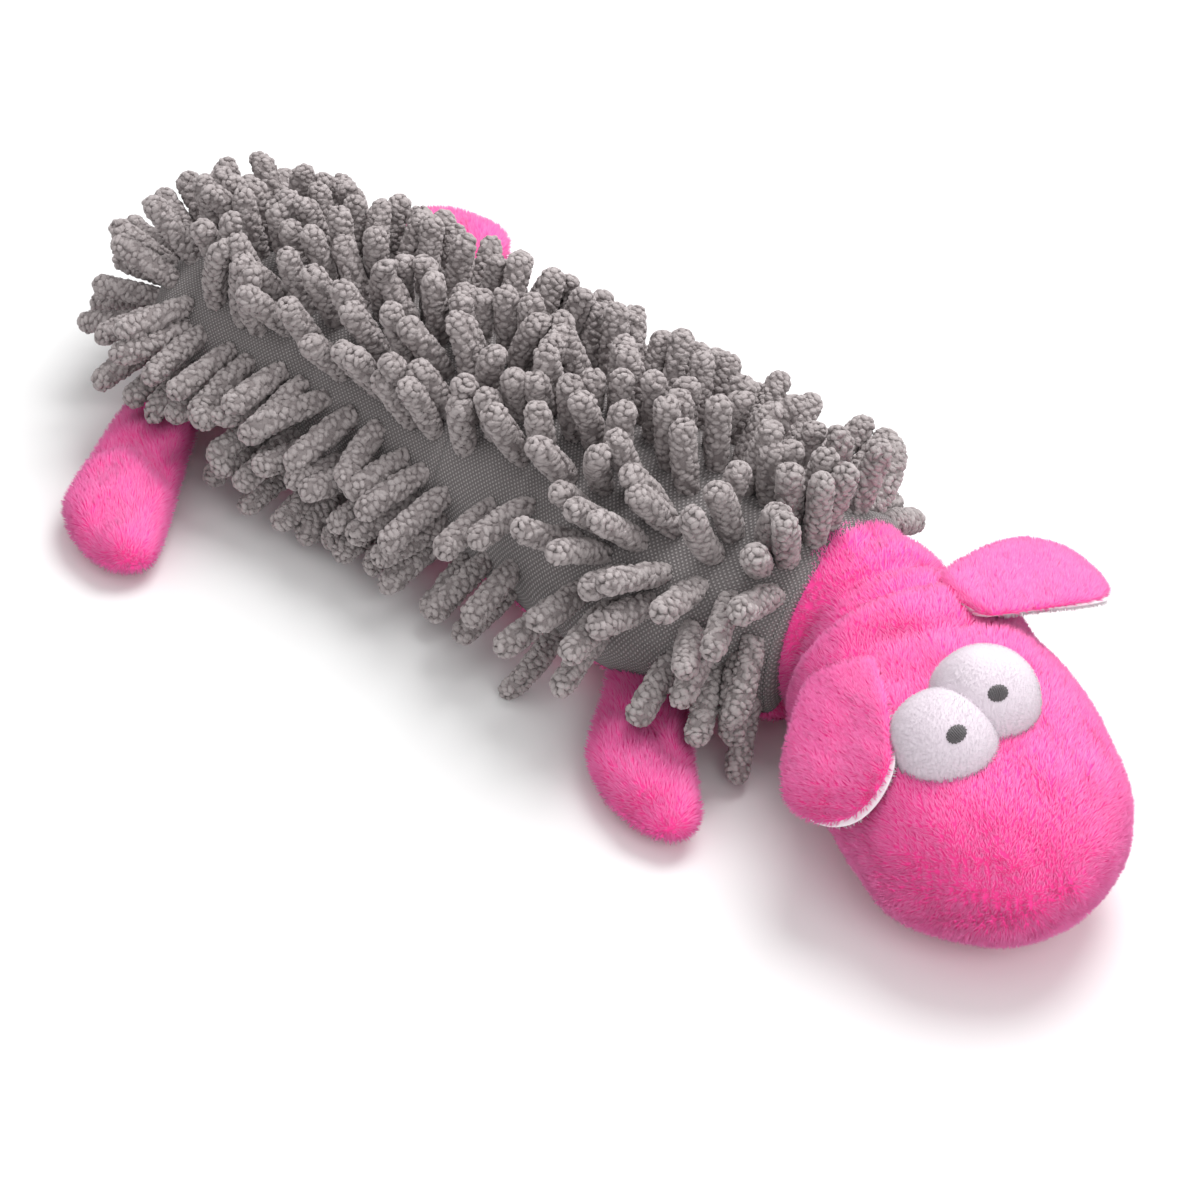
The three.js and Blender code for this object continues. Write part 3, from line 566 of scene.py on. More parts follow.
def knit():
    """Fine warp knit, drawn at 1.1 mm a stitch so that it shows: pale loops in offset rows on grey."""
    material, tree, shader = new_material(
        "grey_warp_knit", Roughness=0.85, IOR=1.45, Specular_IOR_Level=0.2,
        Sheen_Weight=0.15, Sheen_Roughness=0.5)
    # A wave texture's bands lie 2 pi / (20 scale) apart.
    band_scale = 2 * math.pi / (20 * 1.1)
    cloth = add(tree, "UVMap", uv_map="cloth").outputs["UV"]
    bands = []
    for angle in (math.pi / 4, -math.pi / 4):
        turned = add(tree, "Mapping", {"Vector": cloth, "Rotation": (0, 0, angle)}).outputs["Vector"]
        wave = add(tree, "TexWave", {"Vector": turned, "Scale": band_scale, "Distortion": 0.6})
        bands.append(wave.outputs["Fac"])
    loops = add(tree, "Math", {0: bands[0], 1: bands[1]}, operation="MULTIPLY").outputs[0]
    shown = add(tree, "MapRange", {"Value": loops, "From Min": 0.25, "From Max": 0.8}).outputs["Result"]
    finish(tree, shader, shown, "726d6d", "aca6a6", loops, 0.35)
    return material


def woven_tape():
    """Cotton tape, plain woven: small grey checks at 0.9 mm a thread."""
    material, tree, shader = new_material("grey_cotton_tape_woven", Roughness=0.9, IOR=1.45)
    place = add(tree, "TexCoord").outputs["Object"]
    check = add(tree, "TexChecker", {"Vector": place, "Scale": 1 / (0.9 * MM)}).outputs["Fac"]
    finish(tree, shader, check, "5a5555", "777070", check, 0.1)
    return material


def grained(name, low, high, spots, grain, stretch, relief_mm, **constants):
    """Two colours in noisy spots over a grain in relief. Spots and grain are millimetres and detail."""
    material, tree, shader = new_material(name, **constants)
    place = add(tree, "TexCoord").outputs["Object"]
    stretched = add(tree, "Mapping", {"Vector": place, "Scale": stretch}).outputs["Vector"]
    noises = []
    for size, detail in (spots, grain):
        noise = add(tree, "TexNoise", {"Vector": stretched, "Scale": 1 / (size * MM), "Detail": detail})
        noises.append(noise.outputs["Fac"])
    finish(tree, shader, noises[0], low, high, noises[1], relief_mm)
    return material


grey_knit = knit()
finishes = {
    # Each plush's first colour, its root, is painted shade for the depths between the strands.
    "pink_plush": plush("pink_polyester_plush_brushed", "ff4fa4", "ff6ab4", "ff9ccf"),
    "white_plush": plush("white_polyester_plush_brushed", "e6dce2", "f6eff4", "fdf9fc"),
    # Velour, close cut: the same pile, with small even areas
    "white_velour": plush("white_velour_close_cut", "d8cdd6", "e1d6df", "eae0e8", 4),
    "grey_chenille": chenille(),
    "grey_tape": woven_tape(),
    # Polyester fibre fill, carded: tangled white fibres in long soft clumps
    "wadding": grained("white_polyester_wadding", "d9d8d2", "f7f7f4", (2.5, 6), (2.5, 6), (1, 4, 1), 1.2,
                       Roughness=0.95, IOR=1.45, Sheen_Weight=0.3),
    # Rayon thread, satin stitched: close dark ridges with a soft shine
    "dark_thread": grained("dark_rayon_satin_stitch", "2f2b2d", "575256", (0.5, 2), (0.5, 2), (1, 1, 3),
                           0.15, Roughness=0.45, IOR=1.5, Sheen_Weight=0.2),
    # Plastics, moulded: even colour with a faint orange-peel surface
    "soft_plastic": grained("soft_polyethylene_blow_moulded", "d5dee3", "e4eaee", (9, 2), (1.2, 1),
                            (1, 1, 1), 0.03, Roughness=0.4, IOR=1.5),
    "hard_plastic": grained("hard_polystyrene_injection_moulded", "f0f0f0", "f8f8f8", (9, 2), (1.2, 1),
                            (1, 1, 1), 0.03, Roughness=0.3, IOR=1.5),
}


# Pile: slim three-sided strands over a surface
def pile(skin, count, length, width, comb, seed, tuft=PILE_TUFT, tuft_mm=PILE_TUFT_WIDTH, bare=None):
    """Strands rooted evenly by area. Each leans along comb, and its tip is drawn to its tuft's."""
    rng = np.random.default_rng(seed)
    corners = skin["triangles"]
    a, b, c = (skin["points"][corners[:, k]] for k in range(3))
    areas = np.cumsum(np.linalg.norm(np.cross(b - a, c - a), axis=1))
    picks = np.searchsorted(areas / areas[-1], (np.arange(count) + rng.uniform(size=count)) / count)
    picks = np.minimum(picks, len(corners) - 1)
    first, second = rng.uniform(size=(2, count))
    over = first + second > 1
    first[over] = 1 - first[over]
    second[over] = 1 - second[over]
    weights = np.stack([1 - first - second, first, second], axis=-1)[..., None]
    root = (skin["points"][corners[picks]] * weights).sum(1)
    normal = unit((skin["normals"][corners[picks]] * weights).sum(1))
    jitter = rng.normal(size=(count, 3))
    tall = length(root)[:, None] if callable(length) else length
    height = tall * rng.uniform(*PILE_HEIGHT_SPREAD, (count, 1))
    tone = rng.uniform(size=count)
    spin = rng.uniform(0, 2 * np.pi, count)
    if bare is not None:
        kept = ~bare(root)
        root, normal, jitter = root[kept], normal[kept], jitter[kept]
        height, tone, spin = height[kept], tone[kept], spin[kept]
    flow = comb(root) + PILE_FLOW * wave_slopes(root, PILE_FLOW_WIDTH, seed + 1)
    drawn = -tuft * wave_slopes(root, tuft_mm, seed + 2) / PILE_LENGTH
    lean = flow + drawn + PILE_ASTRAY * jitter
    lean -= normal * (lean * normal).sum(-1, keepdims=True)
    tip = root + height * unit(normal + lean)
    side = unit(np.cross(normal, jitter))
    other = np.cross(normal, side)
    spread = spin[:, None] + np.array([0, 2, 4]) * np.pi / 3
    around = round_section(spread, side[:, None], other[:, None])
    base = root[:, None] + width / 2 * around - PILE_SUNK * normal[:, None]
    points = np.concatenate([base, tip[:, None]], axis=1)
    low = normal[:, None] + PILE_SIDE_NORMAL * around
    high = unit(tip - root)[:, None] + PILE_TIP_NORMAL * normal[:, None]
    normals = unit(np.concatenate([low, high], axis=1).reshape(-1, 3))
    faces = np.array([[0, 1, 3], [1, 2, 3], [2, 0, 3], [0, 2, 1]])
    triangles = (np.arange(len(root))[:, None, None] * 4 + faces).reshape(-1, 3)
    # Strand bases carry most of the painted shade of the root colour, and tips carry none.
    along = np.tile([PILE_BASE_SHADE_MIX] * 3 + [1.0], len(root))
    tufts = 0.5 + 0.25 * waves(root, tuft_mm, seed + 2)
    tone = np.repeat(np.clip(0.55 * tone + 0.45 * tufts, 0, 1), 4)
    return {"points": points.reshape(-1, 3), "triangles": triangles, "normals": normals, "along": along,
            "tone": tone}


def plush_piece(name, skin, slot, count, comb, seed, length=PILE_LENGTH, width=PILE_WIDTH, **options):
    """A skin with its pile, as one piece."""
    skin = with_normals(skin)
    # The skin under the strands takes the root colour in full: painted shade.
    skin["along"] = np.zeros(len(skin["points"]))
    skin["tone"] = np.full(len(skin["points"]), SKIN_TONE)
    strands = pile(skin, count, length, width, comb, seed, **options)
    return new_piece(name, joined([skin, strands]), finishes[slot], ("along", "tone"), normals=True)


def one_way(direction):
    """A comb that lays the pile one way all over."""
    return lambda points: direction + 0 * points


def outward(strength):
    """A comb that lays the pile away from the middle of the piece."""
    return lambda points: strength * unit(points - points.mean(0))


def below(height):
    """True near the floor, where no strand grows."""
    return lambda points: points[:, 2] < height


def dress(piece, body, nodes):
    """The piece moves with a body and stands for CAD nodes, which are hidden."""
    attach(piece, body)
    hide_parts(*nodes)


# Frames of the moving parts, from the joints
def joint_place(name):
    """Where a joint turns, in millimetres."""
    return np.array(joints[name]["pos_m"]) / MM


def joint_axis(name):
    """The direction of a joint's axis, of length one."""
    return unit(np.array(joints[name]["axis"], float))


neck_origin = joint_place("neck_turn")
head_origin = joint_place("head_nod")
neck_x = unit(head_origin - neck_origin)
neck_axes = np.stack([neck_x, np.cross(UP, neck_x), UP], axis=1)
head_y = -joint_axis("head_nod")
head_axes = np.stack([np.cross(head_y, UP), head_y, UP], axis=1)
face_axes = head_axes @ turn(0, FACE_ROLL) @ turn(2, FACE_TURN)


# Torso cover: knitted cloth in four quarters
def torso_points(distance, angle, grow=0.0):
    """Points on the torso's form, moved back so that its middle lies at x = 0."""
    return form_points(TORSO, distance, angle, grow) + np.array([RUMP_X, 0, 0])


def torso_normals(distance, angle):
    """Outward normals: the cross product of the steps round the section and along it."""
    step = 0.02
    along = torso_points(distance + 1, angle) - torso_points(distance - 1, angle)
    around = torso_points(distance, angle + step) - torso_points(distance, angle - step)
    return unit(np.cross(around, along))


def torso_lumps(points):
    """The stuffing's lumps, 0.5 mm high and about 28 mm apart."""
    return 0.5 * waves(points, 28, 5)


def quarter_angle(distance, side, v):
    """The angle at a share v of the way from the side seam up to the crest."""
    low = angle_at(TORSO, distance, SEAM_TOP + SEAM_CLEARANCE)
    angle = low + (QUARTER - low) * v
    return angle if side > 0 else math.pi - angle


def with_cloth(shape, rise=0.0):
    """Adds the cloth's own coordinates: millimetres along the toy and round it."""
    along = shape["points"][:, 0] + rise
    shape["cloth"] = np.stack([along, shape["share"][:, 1] * CLOTH_GIRTH], axis=-1)
    return shape


def cover_ground(side, start, end):
    """A quarter of the cover, from the side seam to the crest. Its rows draw together at the rump."""
    def place(u, v):
        distance = start + (end - start) * u
        if start == 0:
            distance = end * (1 - np.cos(u * QUARTER)) ** RUMP_SPREAD
        angle = quarter_angle(distance, side, v)
        points = torso_points(distance, angle)
        # At the very tip a normal has no direction, so the one 2 mm from it serves there.
        return points + torso_lumps(points)[..., None] * torso_normals(np.clip(distance, 2, None), angle)

    return with_cloth(patch(place, GROUND_ROWS, GROUND_COLUMNS, flip=side > 0))


def turned_in(angle, u):
    """The mouth's edge turns in on a quarter circle, and then runs straight to the nape's skin."""
    end = np.full_like(u, TORSO["length"])
    bend = np.clip(u / HEM_TURN_SHARE, 0, 1) * QUARTER
    rim = torso_points(end, angle)
    hem = rim + (torso_points(end, angle, -MOUTH_HEM) - rim) * (1 - np.cos(bend))[..., None]
    hem[..., 0] += HEM_ROLL * np.sin(bend)
    hem += (torso_lumps(rim) * np.cos(bend))[..., None] * torso_normals(end, angle)
    spoke = (hem - neck_origin) * np.array([0, 1, 1])
    reach = np.linalg.norm(spoke, axis=-1, keepdims=True)
    shut = np.clip((u - HEM_TURN_SHARE) / (1 - HEM_TURN_SHARE), 0, 1)[..., None]
    return hem - unit(spoke) * np.maximum(reach - NECK_RADIUS + NAPE_TUCK, 0) * shut


def mouth_hem(side):
    """The cover's own share of the mouth's turned-in edge."""
    def place(u, v):
        return turned_in(quarter_angle(np.full_like(u, TORSO["length"]), side, v), u)

    shape = patch(place, HEM_ROWS, GROUND_COLUMNS, flip=side > 0)
    return with_cloth(shape, shape["share"][:, 0] * MOUTH_HEM)


# Noodle roots, row by row
def even_places(line, values, pitch):
    """Places along a line of points, an even pitch apart."""
    lengths = np.concatenate([[0], np.cumsum(np.linalg.norm(np.diff(line, axis=0), axis=1))])
    count = max(round(lengths[-1] / pitch), 1)
    return np.interp(np.linspace(0, lengths[-1], count + 1), lengths, values)


def over_leg(points, side):
    """Which roots are too low to clear a leg's swing, and which are anywhere above a leg."""
    low = np.zeros(len(points), bool)
    above = np.zeros(len(points), bool)
    room = LEG["half_width"] * LEG["wide_shares"][0] + LEG_ROOM
    for name, leg in LEGS.items():
        if leg["side"] != side:
            continue
        x = joint_place(f"leg_{name}_flap")[0]
        drift = leg["forward"] * NOODLE_LENGTH / leg["length"]
        near = (points[:, 0] > x - room) & (points[:, 0] < x + drift + room)
        swing = LEG_TOP + LEG_SWING_ROOM + NOODLE_LENGTH * math.sin(leg["raise"])
        above |= near
        low |= near & (points[:, 2] < swing)
    return low, above


def noodle_roots(side, start, end, rng):
    """Distances, arcs and droop shares of a quarter's noodles, in rows a pitch apart."""
    shares = np.linspace(0, 1, PROFILE_STEPS + 1)
    profile = start + (end - start) * shares
    flat = 0.0 if side > 0 else math.pi
    rows = even_places(torso_points(profile, np.full_like(profile, flat)), profile, NOODLE_PITCH)
    distances, arcs, droops = [], [], []
    for distance in rows:
        arc = QUARTER * (1 - shares * NOODLE_ARC_SHARE) + NOODLE_ARC_START
        line = torso_points(np.full_like(arc, distance), arc if side > 0 else math.pi - arc)
        good = (line[:, 1] * side > NOODLE_CREST_GAP) & (line[:, 2] > NOODLE_START_HEIGHT)
        if good.sum() < 2:
            continue
        places = even_places(line[good], arc[good], NOODLE_PITCH)
        arcs.append(places + rng.normal(0, ARC_SCATTER, len(places)))
        distances.append(distance + rng.normal(0, ROOT_SCATTER, len(places)))
        droops.append(np.where(np.arange(len(places)) % 2, 1.0, NOODLE_DROOP_SHARE))
    distance = np.clip(np.concatenate(distances), NOODLE_START, NOODLE_END)
    return distance, np.concatenate(arcs), np.concatenate(droops)


def parted(distance, arc, side):
    """Near a parting the roots stand off it, and push says how far the noodles lean away from it."""
    flat = np.stack([distance + RUMP_X, arc * ARC_RADIUS], axis=-1)
    push = np.zeros_like(flat)
    for line, bare, lean, reach in PARTINGS[side]:
        spots = np.array([(x, math.radians(degrees) * ARC_RADIUS) for x, degrees in line])
        best = np.full(len(flat), np.inf)
        away = np.zeros_like(flat)
        for a, b in zip(spots[:-1], spots[1:]):
            span = b - a
            t = np.clip(((flat - a) @ span) / (span @ span), 0, 1)
            gap = flat - (a + t[:, None] * span)
            size = np.linalg.norm(gap, axis=1)
            near = size < best
            best[near] = size[near]
            away[near] = gap[near]
        off = unit(away)
        push += lean * np.maximum(0, 1 - best / reach)[:, None] * off
        flat = flat + np.maximum(0, bare - best)[:, None] * off
    return np.clip(flat[:, 0] - RUMP_X, NOODLE_START, NOODLE_END), flat[:, 1] / ARC_RADIUS, push


def noodle_field(side, start, end):
    """Roots and directions of the noodles on a quarter: outward, leaning with their neighbours."""
    rng = np.random.default_rng(int(start) * 2 + side + 40)
    distance, arc, share = noodle_roots(side, start, end, rng)
    distance, arc, push = parted(distance, arc, side)
    x = distance + RUMP_X
    thin = (side < 0) & (x > SPARSE_X[0]) & (x < SPARSE_X[1]) & (arc < SPARSE_ARC)
    kept = ~thin | (rng.uniform(size=len(distance)) < SPARSE_KEPT)
    distance, arc, share, push = distance[kept], arc[kept], share[kept], push[kept]
    angle = arc if side > 0 else math.pi - arc
    root = torso_points(distance, angle)
    direction = torso_normals(distance, angle)
    uphill = unit(np.cross(direction, FORWARD) * -side)
    lean = NOODLE_LEAN * np.sin(2 * np.pi * distance / NOODLE_WAVE + arc + side)
    front = np.maximum(0, 1 - (TORSO["length"] - distance) / FRONT_LEAN_LENGTH)
    rear = np.clip((REAR_LEAN_END - distance) / REAR_LEAN_LENGTH, 0, 1)
    droop = NOODLE_DROOP * np.cos(arc) * share + FRONT_DROOP * front * np.cos(arc)
    direction[:, 0] += np.tan(lean) * (1 - np.abs(direction[:, 0])) - math.tan(FRONT_LEAN) * front
    direction[:, 0] -= REAR_LEAN * rear * (1 - np.abs(direction[:, 0]))
    direction[:, 2] -= np.tan(droop)
    direction = unit(direction) + push[:, :1] * FORWARD + push[:, 1:] * uphill
    direction = unit(unit(direction) + rng.normal(0, LEAN_SCATTER, direction.shape))
    low, near = over_leg(root, side)
    rise = (LEG_TOP - root[:, 2]) / NOODLE_LENGTH
    direction[near, 2] = np.maximum(direction[near, 2], rise[near])
    direction[:, 2] = np.maximum(direction[:, 2], (TIP_HEIGHT - root[:, 2]) / NOODLE_LENGTH)
    return root[~low], unit(direction[~low])


def noodles(root, direction, seed):
    """Bent chenille tubes, each a plain core under a spiral of small five-sided nubs."""
    rng = np.random.default_rng(seed)
    count = len(root)
    length = NOODLE_LENGTH * rng.uniform(*NOODLE_LENGTH_SPREAD, (count, 1))
    radius = NOODLE_RADIUS * rng.uniform(*NOODLE_RADIUS_SPREAD, (count, 1))
    bend = rng.normal(0, 1, (count, 3))
    bend -= direction * (bend * direction).sum(-1, keepdims=True)
    strength = np.abs(rng.normal(0, NOODLE_BEND, (count, 1)))
    strength += np.where(rng.uniform(size=(count, 1)) < NOODLE_BENT_SHARE, NOODLE_BENT_MORE, 0)
    bend = unit(bend) * strength - UP * NOODLE_SAG
    side = unit(np.cross(direction, UP + 0.01 * bend))
    other = np.cross(direction, side)

    def middle(t):
        """The centre line: straight out, and bent sideways with the square of the way along."""
        out = root[:, None] + direction[:, None] * (t * length[:, None] - NOODLE_SUNK)
        return out + bend[:, None] * t ** 2

    def at_tip(t):
        return np.clip((t - NOODLE_TIP_SHARE) / (1 - NOODLE_TIP_SHARE), 0, 1)

    def girth(t):
        """Pinched at the root, full from a third on, and round at the tip."""
        full = np.clip(t / NOODLE_FULL_SHARE, 0, 1) ** 0.7
        grown = NOODLE_ROOT_SHARE + (1 - NOODLE_ROOT_SHARE) * full
        return radius[:, None] * grown * np.sqrt(np.clip(1 - at_tip(t) ** 2, 0, 1))

    t = np.array(CORE_SHARES)[None, :, None] + np.zeros((count, 1, 1))
    around = np.arange(CORE_SIDES) * 2 * np.pi / CORE_SIDES
    ring = round_section(around, side[:, None, None], other[:, None, None])
    core = tubes(middle(t)[:, :, None] + (girth(t)[:, :, None] + CORE_SWELL) * ring)

    spot = np.arange(NUBS_PER_NOODLE)
    t = ((spot + 0.5) / NUBS_PER_NOODLE)[None, :, None] + rng.normal(0, 0.006, (count, NUBS_PER_NOODLE, 1))
    t = np.clip(t, 0.02, 0.995)
    angle = spot * NUB_TURN + rng.normal(0, 0.25, (count, NUBS_PER_NOODLE)) + rng.uniform(0, 6, (count, 1))
    out = round_section(angle, side[:, None], other[:, None])
    tipped = at_tip(t)
    facing = unit(out * np.sqrt(np.clip(1 - tipped ** 2, 0, 1)) + direction[:, None] * tipped)
    at = middle(t) + out * (girth(t) - CORE_SWELL)
    axis = np.broadcast_to(direction[:, None], at.shape)
    cover = nubs(at.reshape(-1, 3), facing.reshape(-1, 3), axis.reshape(-1, 3), rng)
    return rested(joined([core, cover]), FLOOR_CLEARANCE)


def ring_faces(rings, sides, tip):
    """The faces between rings of points that follow each other, and from the last ring to a tip."""
    k = np.arange(sides)
    after = (k + 1) % sides
    faces = []
    for start in range(0, (rings - 1) * sides, sides):
        a, b, c, d = start + k, start + after, start + sides + after, start + sides + k
        faces += [np.stack([a, b, c], -1), np.stack([a, c, d], -1)]
    last = (rings - 1) * sides
    return np.concatenate([*faces, np.stack([last + k, last + after, np.full(sides, tip)], -1)])


def tubes(core):
    """Closed tubes through rings of points: count, rings, sides, and the three coordinates."""
    count, rings, sides, _ = core.shape
    ends = np.stack([core[:, 0].mean(1), core[:, -1].mean(1)], axis=1)
    per = rings * sides + 2
    points = np.concatenate([core.reshape(count, -1, 3), ends], axis=1).reshape(-1, 3)
    k = np.arange(sides)
    root = np.stack([np.full(sides, per - 2), (k + 1) % sides, k], -1)
    faces = np.concatenate([root, ring_faces(rings, sides, per - 1)])
    triangles = (np.arange(count)[:, None, None] * per + faces).reshape(-1, 3)
    # The core lies between the nubs and gets the darkest colour: painted shade.
    return {"points": points, "triangles": triangles, "along": np.zeros(len(points)),
            "tone": np.full(len(points), 0.2)}


def nubs(at, facing, axis, rng):
    """Small five-sided domes, longer round the noodle than along it and sunk a little into it."""
    count = len(at)
    across = unit(np.cross(facing, axis))
    along = np.cross(facing, across)
    slant = rng.normal(0, 0.5, (count, 1))
    c, s = np.cos(slant), np.sin(slant)
    across, along = across * c + along * s, along * c - across * s
    width = NUB_WIDTH * rng.uniform(0.7, 1.2, (count, 1))
    length = NUB_LENGTH * rng.uniform(0.75, 1.3, (count, 1))
    height = NUB_HEIGHT * rng.uniform(0.6, 1.25, (count, 1))
    around = np.arange(NUB_SIDES) * 2 * np.pi / NUB_SIDES
    ring = round_section(around, (across * width)[:, None], (along * length)[:, None])
    base = at[:, None] + ring - NUB_SUNK * facing[:, None]
    crown = at[:, None] + NUB_CROWN_SHARE * ring + (NUB_CROWN_HEIGHT_SHARE * height * facing)[:, None]
    top = at + facing * height
    points = np.concatenate([base, crown, top[:, None]], axis=1).reshape(-1, 3)
    base_faces = [[0, 2, 1], [0, 3, 2], [0, 4, 3]]
    faces = np.concatenate([ring_faces(2, NUB_SIDES, 2 * NUB_SIDES), base_faces])
    per = 2 * NUB_SIDES + 1
    triangles = (np.arange(count)[:, None, None] * per + faces).reshape(-1, 3)
    tone = np.repeat(rng.uniform(size=count), per)
    # Bases, crowns and tops step from painted shade at the base to full colour at the top.
    along = np.tile([0.0] * NUB_SIDES + [0.75] * NUB_SIDES + [1.0], count)
    return {"points": points, "triangles": triangles, "along": along, "tone": tone}


quarters = {
    "left_rear": (1, 0, CROSS_SEAM),
    "right_rear": (-1, 0, CROSS_SEAM),
    "left_front": (1, CROSS_SEAM, TORSO["length"]),
    "right_front": (-1, CROSS_SEAM, TORSO["length"]),
}
for number, (name, (side, start, end)) in enumerate(quarters.items()):
    cloth = cover_ground(side, start, end)
    if end == TORSO["length"]:
        cloth = joined([cloth, mouth_hem(side)])
    ground = new_piece("cover_cloth_" + name, cloth, grey_knit)
    wall = ground.modifiers.new("cloth thickness", "SOLIDIFY")
    wall.thickness = CLOTH_THICKNESS * MM
    wall.offset = -1
    dress(ground, "root", ["noodle_cover_" + name])
    first = start + NOODLE_SEAM_GAP if start > 0 else 1
    shape = noodles(*noodle_field(side, first, end - NOODLE_SEAM_GAP), number + 3)
    tufts = new_piece("noodles_" + name, shape, finishes["grey_chenille"], ("along", "tone"))
    dress(tufts, "root", ["noodle_cover_" + name])


# Belly: a plush panel, flat where it rests
def belly_skin():
    """The torso below the side seams, from the left seam round under to the right one."""
    floor = [-np.inf, -np.inf, 0]

    def under(low, v):
        return low - (math.pi + 2 * low) * v

    def place(u, v):
        distance = TORSO["length"] * (1 - np.cos(u * QUARTER)) ** RUMP_SPREAD
        low = angle_at(TORSO, distance, SEAM_HEIGHT - SEAM_WIDTH / 2 - SEAM_CLEARANCE)
        return np.maximum(torso_points(distance, under(low, v)), floor)

    def front(u, v):
        low = angle_at(TORSO, np.full_like(u, TORSO["length"]), SEAM_TOP + BELLY_LAP)
        return np.maximum(turned_in(under(low, v), u) - BELLY_BEHIND * FORWARD, floor)

    return joined([patch(place, 90, 60), patch(front, HEM_ROWS, 60)])


belly = plush_piece("belly_panel_plush", belly_skin(), "pink_plush", 15000, one_way([-0.6, 0, 0]), 70,
                    length=BELLY_PILE, width=0.8, bare=below(2.2))
dress(belly, "root", ["belly_panel"])


# Nape: the neck's skin, a column with two ball ends
def nape_skin():
    """A ball, a column and a ball in one line, with soft folds where the neck bends."""
    def place(u, v):
        span = NECK_SPAN / NECK_RADIUS
        along = u * (math.pi + span)
        rear = np.clip(along, 0, QUARTER)
        mid = np.clip(along - QUARTER, 0, span)
        front = np.clip(along - QUARTER - span, 0, QUARTER)
        x = -NECK_RADIUS * np.cos(rear) + NECK_RADIUS * mid + NECK_RADIUS * np.sin(front)
        r = NECK_RADIUS * np.sin(rear) * np.cos(front)
        angle = v * 2 * math.pi
        high = np.clip(np.sin(angle) + 0.4, 0, 1)
        swell = NAPE_SWELL
        for middle, sway, reach, depth in NAPE_FOLDS:
            swell = swell - depth * np.exp(-((x - middle - sway * np.cos(angle)) / reach) ** 2)
        r = r * (1 + high * swell)
        return np.stack([x, r * np.cos(angle), r * np.sin(angle)], axis=-1)

    shape = patch(place, 60, 72, flip=True)
    x = shape["points"][:, 0]
    skirt = NECK_RADIUS * NAPE_SKIRT_SHARE
    keep = (x > -skirt) & (x < NECK_SPAN + skirt)
    shape["triangles"] = shape["triangles"][keep[shape["triangles"]].all(1)]
    shape["points"] = placed(shape["points"], neck_origin, neck_axes)
    return rested(shape, NAPE_FLOOR)


def nape_pile(points):
    """Full pile on the open part of the neck, and worn short where the head and the mouth cover it."""
    in_head = ((points - head_origin) @ head_axes)[:, 0] - HEAD_START + 1
    in_mouth = TORSO["length"] / 2 - 3 - points[:, 0]
    cover = np.clip(np.maximum(in_head, in_mouth) / 3, 0, 1)
    return PILE_LENGTH * (1 - 0.7 * cover)


nape = plush_piece("nape_plush_pile", nape_skin(), "pink_plush", 30000, one_way(-0.55 * neck_x), 80,
                   length=nape_pile, bare=below(4))
dress(nape, "neck", ["nape_plush"])


# Head
def head_skin(above_seam, rows, columns):
    """The egg of the head above or below the chin seam. Its rear edge rolls in to the neck."""
    seam = CHIN_SEAM_HEIGHT - NECK_HEIGHT

    def place(u, v):
        roll = np.clip(1 - u / HEAD_ROLL_SHARE, 0, 1) * QUARTER
        spread = np.clip((u - HEAD_ROLL_SHARE) / (1 - HEAD_ROLL_SHARE), 0, 1)
        distance = HEAD["length"] * np.sin(spread * QUARTER) ** HEAD_SPREAD
        cap = section(HEAD, distance)
        inside = cap["middle"] - cap["depth"] > seam
        low = np.where(inside, -QUARTER, angle_at(HEAD, distance, seam))
        if above_seam:
            angle = low + (math.pi - 2 * low) * v
        else:
            angle = low - (math.pi + 2 * low) * v
        points = form_points(HEAD, distance, angle)
        lumps = HEAD_LUMP * waves(points, 34, 9) * np.clip(distance / HEAD_LUMP_START, 0, 1)
        lumps += HEAD_FULLER * np.exp(-distance / HEAD_FULLER_REACH)
        bent = distance - CREASE_PLACE - CREASE_SWAY * waves(points, 40, 21)
        lumps -= CREASE_DEPTH * np.exp(-(bent / CREASE_REACH) ** 2) * np.clip(1.3 * np.sin(angle), 0, 1)
        centre = np.stack([distance, 0 * distance, cap["middle"] + 0 * distance], axis=-1)
        out = unit(points - centre)
        points = points + lumps[..., None] * out
        points = points - out * (HEAD_ROLL * (1 - np.cos(roll)))[..., None]
        points[..., 0] += HEAD_START - HEAD_ROLL * np.sin(roll)
        return points

    shape = patch(place, rows, columns, flip=above_seam)
    shape["points"] = placed(shape["points"], head_origin, head_axes)
    return rested(shape, HEAD_FLOOR)


def eye_place(side):
    """An eye's origin and axes, its z axis along the dome's."""
    x, y, z = EYE_PLACE
    shift = EYE_SHIFT[side]
    local = np.array([HEAD_START + x + shift[0], side * y + shift[1], z + shift[2] - NECK_HEIGHT])
    origin = placed(local, head_origin, face_axes)
    return origin, face_axes @ turn(0, -side * EYE_SPREAD) @ turn(1, EYE_PITCH)


def under_eyes(points):
    """True near the floor and inside either eye, where no strand grows."""
    hidden = below(3.5)(points)
    for side in (1, -1):
        origin, axes = eye_place(side)
        local = (points - origin) @ axes
        share = np.hypot(local[:, 0], local[:, 1]) / (EYE_RADIUS - EYE_HEM)
        dome = (EYE_RISE - EYE_HEM) * np.sqrt(np.clip(1 - share ** 2, 0, 1))
        hidden |= (share < 1) & (local[:, 2] > -EYE_SINK) & (local[:, 2] < dome)
    return hidden


def head_comb(points):
    """The nap runs up from the muzzle and back over the crown."""
    local = (points - head_origin) @ head_axes
    nap = np.stack([-0.5 + 0 * local[:, 0], 0.004 * local[:, 1], 0.4 + 0 * local[:, 0]], axis=-1)
    return nap @ head_axes.T


face = plush_piece("face_plush_pile", head_skin(True, 90, 110), "pink_plush", 62000, head_comb, 90,
                   bare=under_eyes)
dress(face, "head", ["face_plush"])
chin = plush_piece("chin_panel_pile", head_skin(False, 60, 60), "pink_plush", 9000, head_comb, 91,
                   length=2.4, bare=below(3.2))
dress(chin, "head", ["chin_panel"])


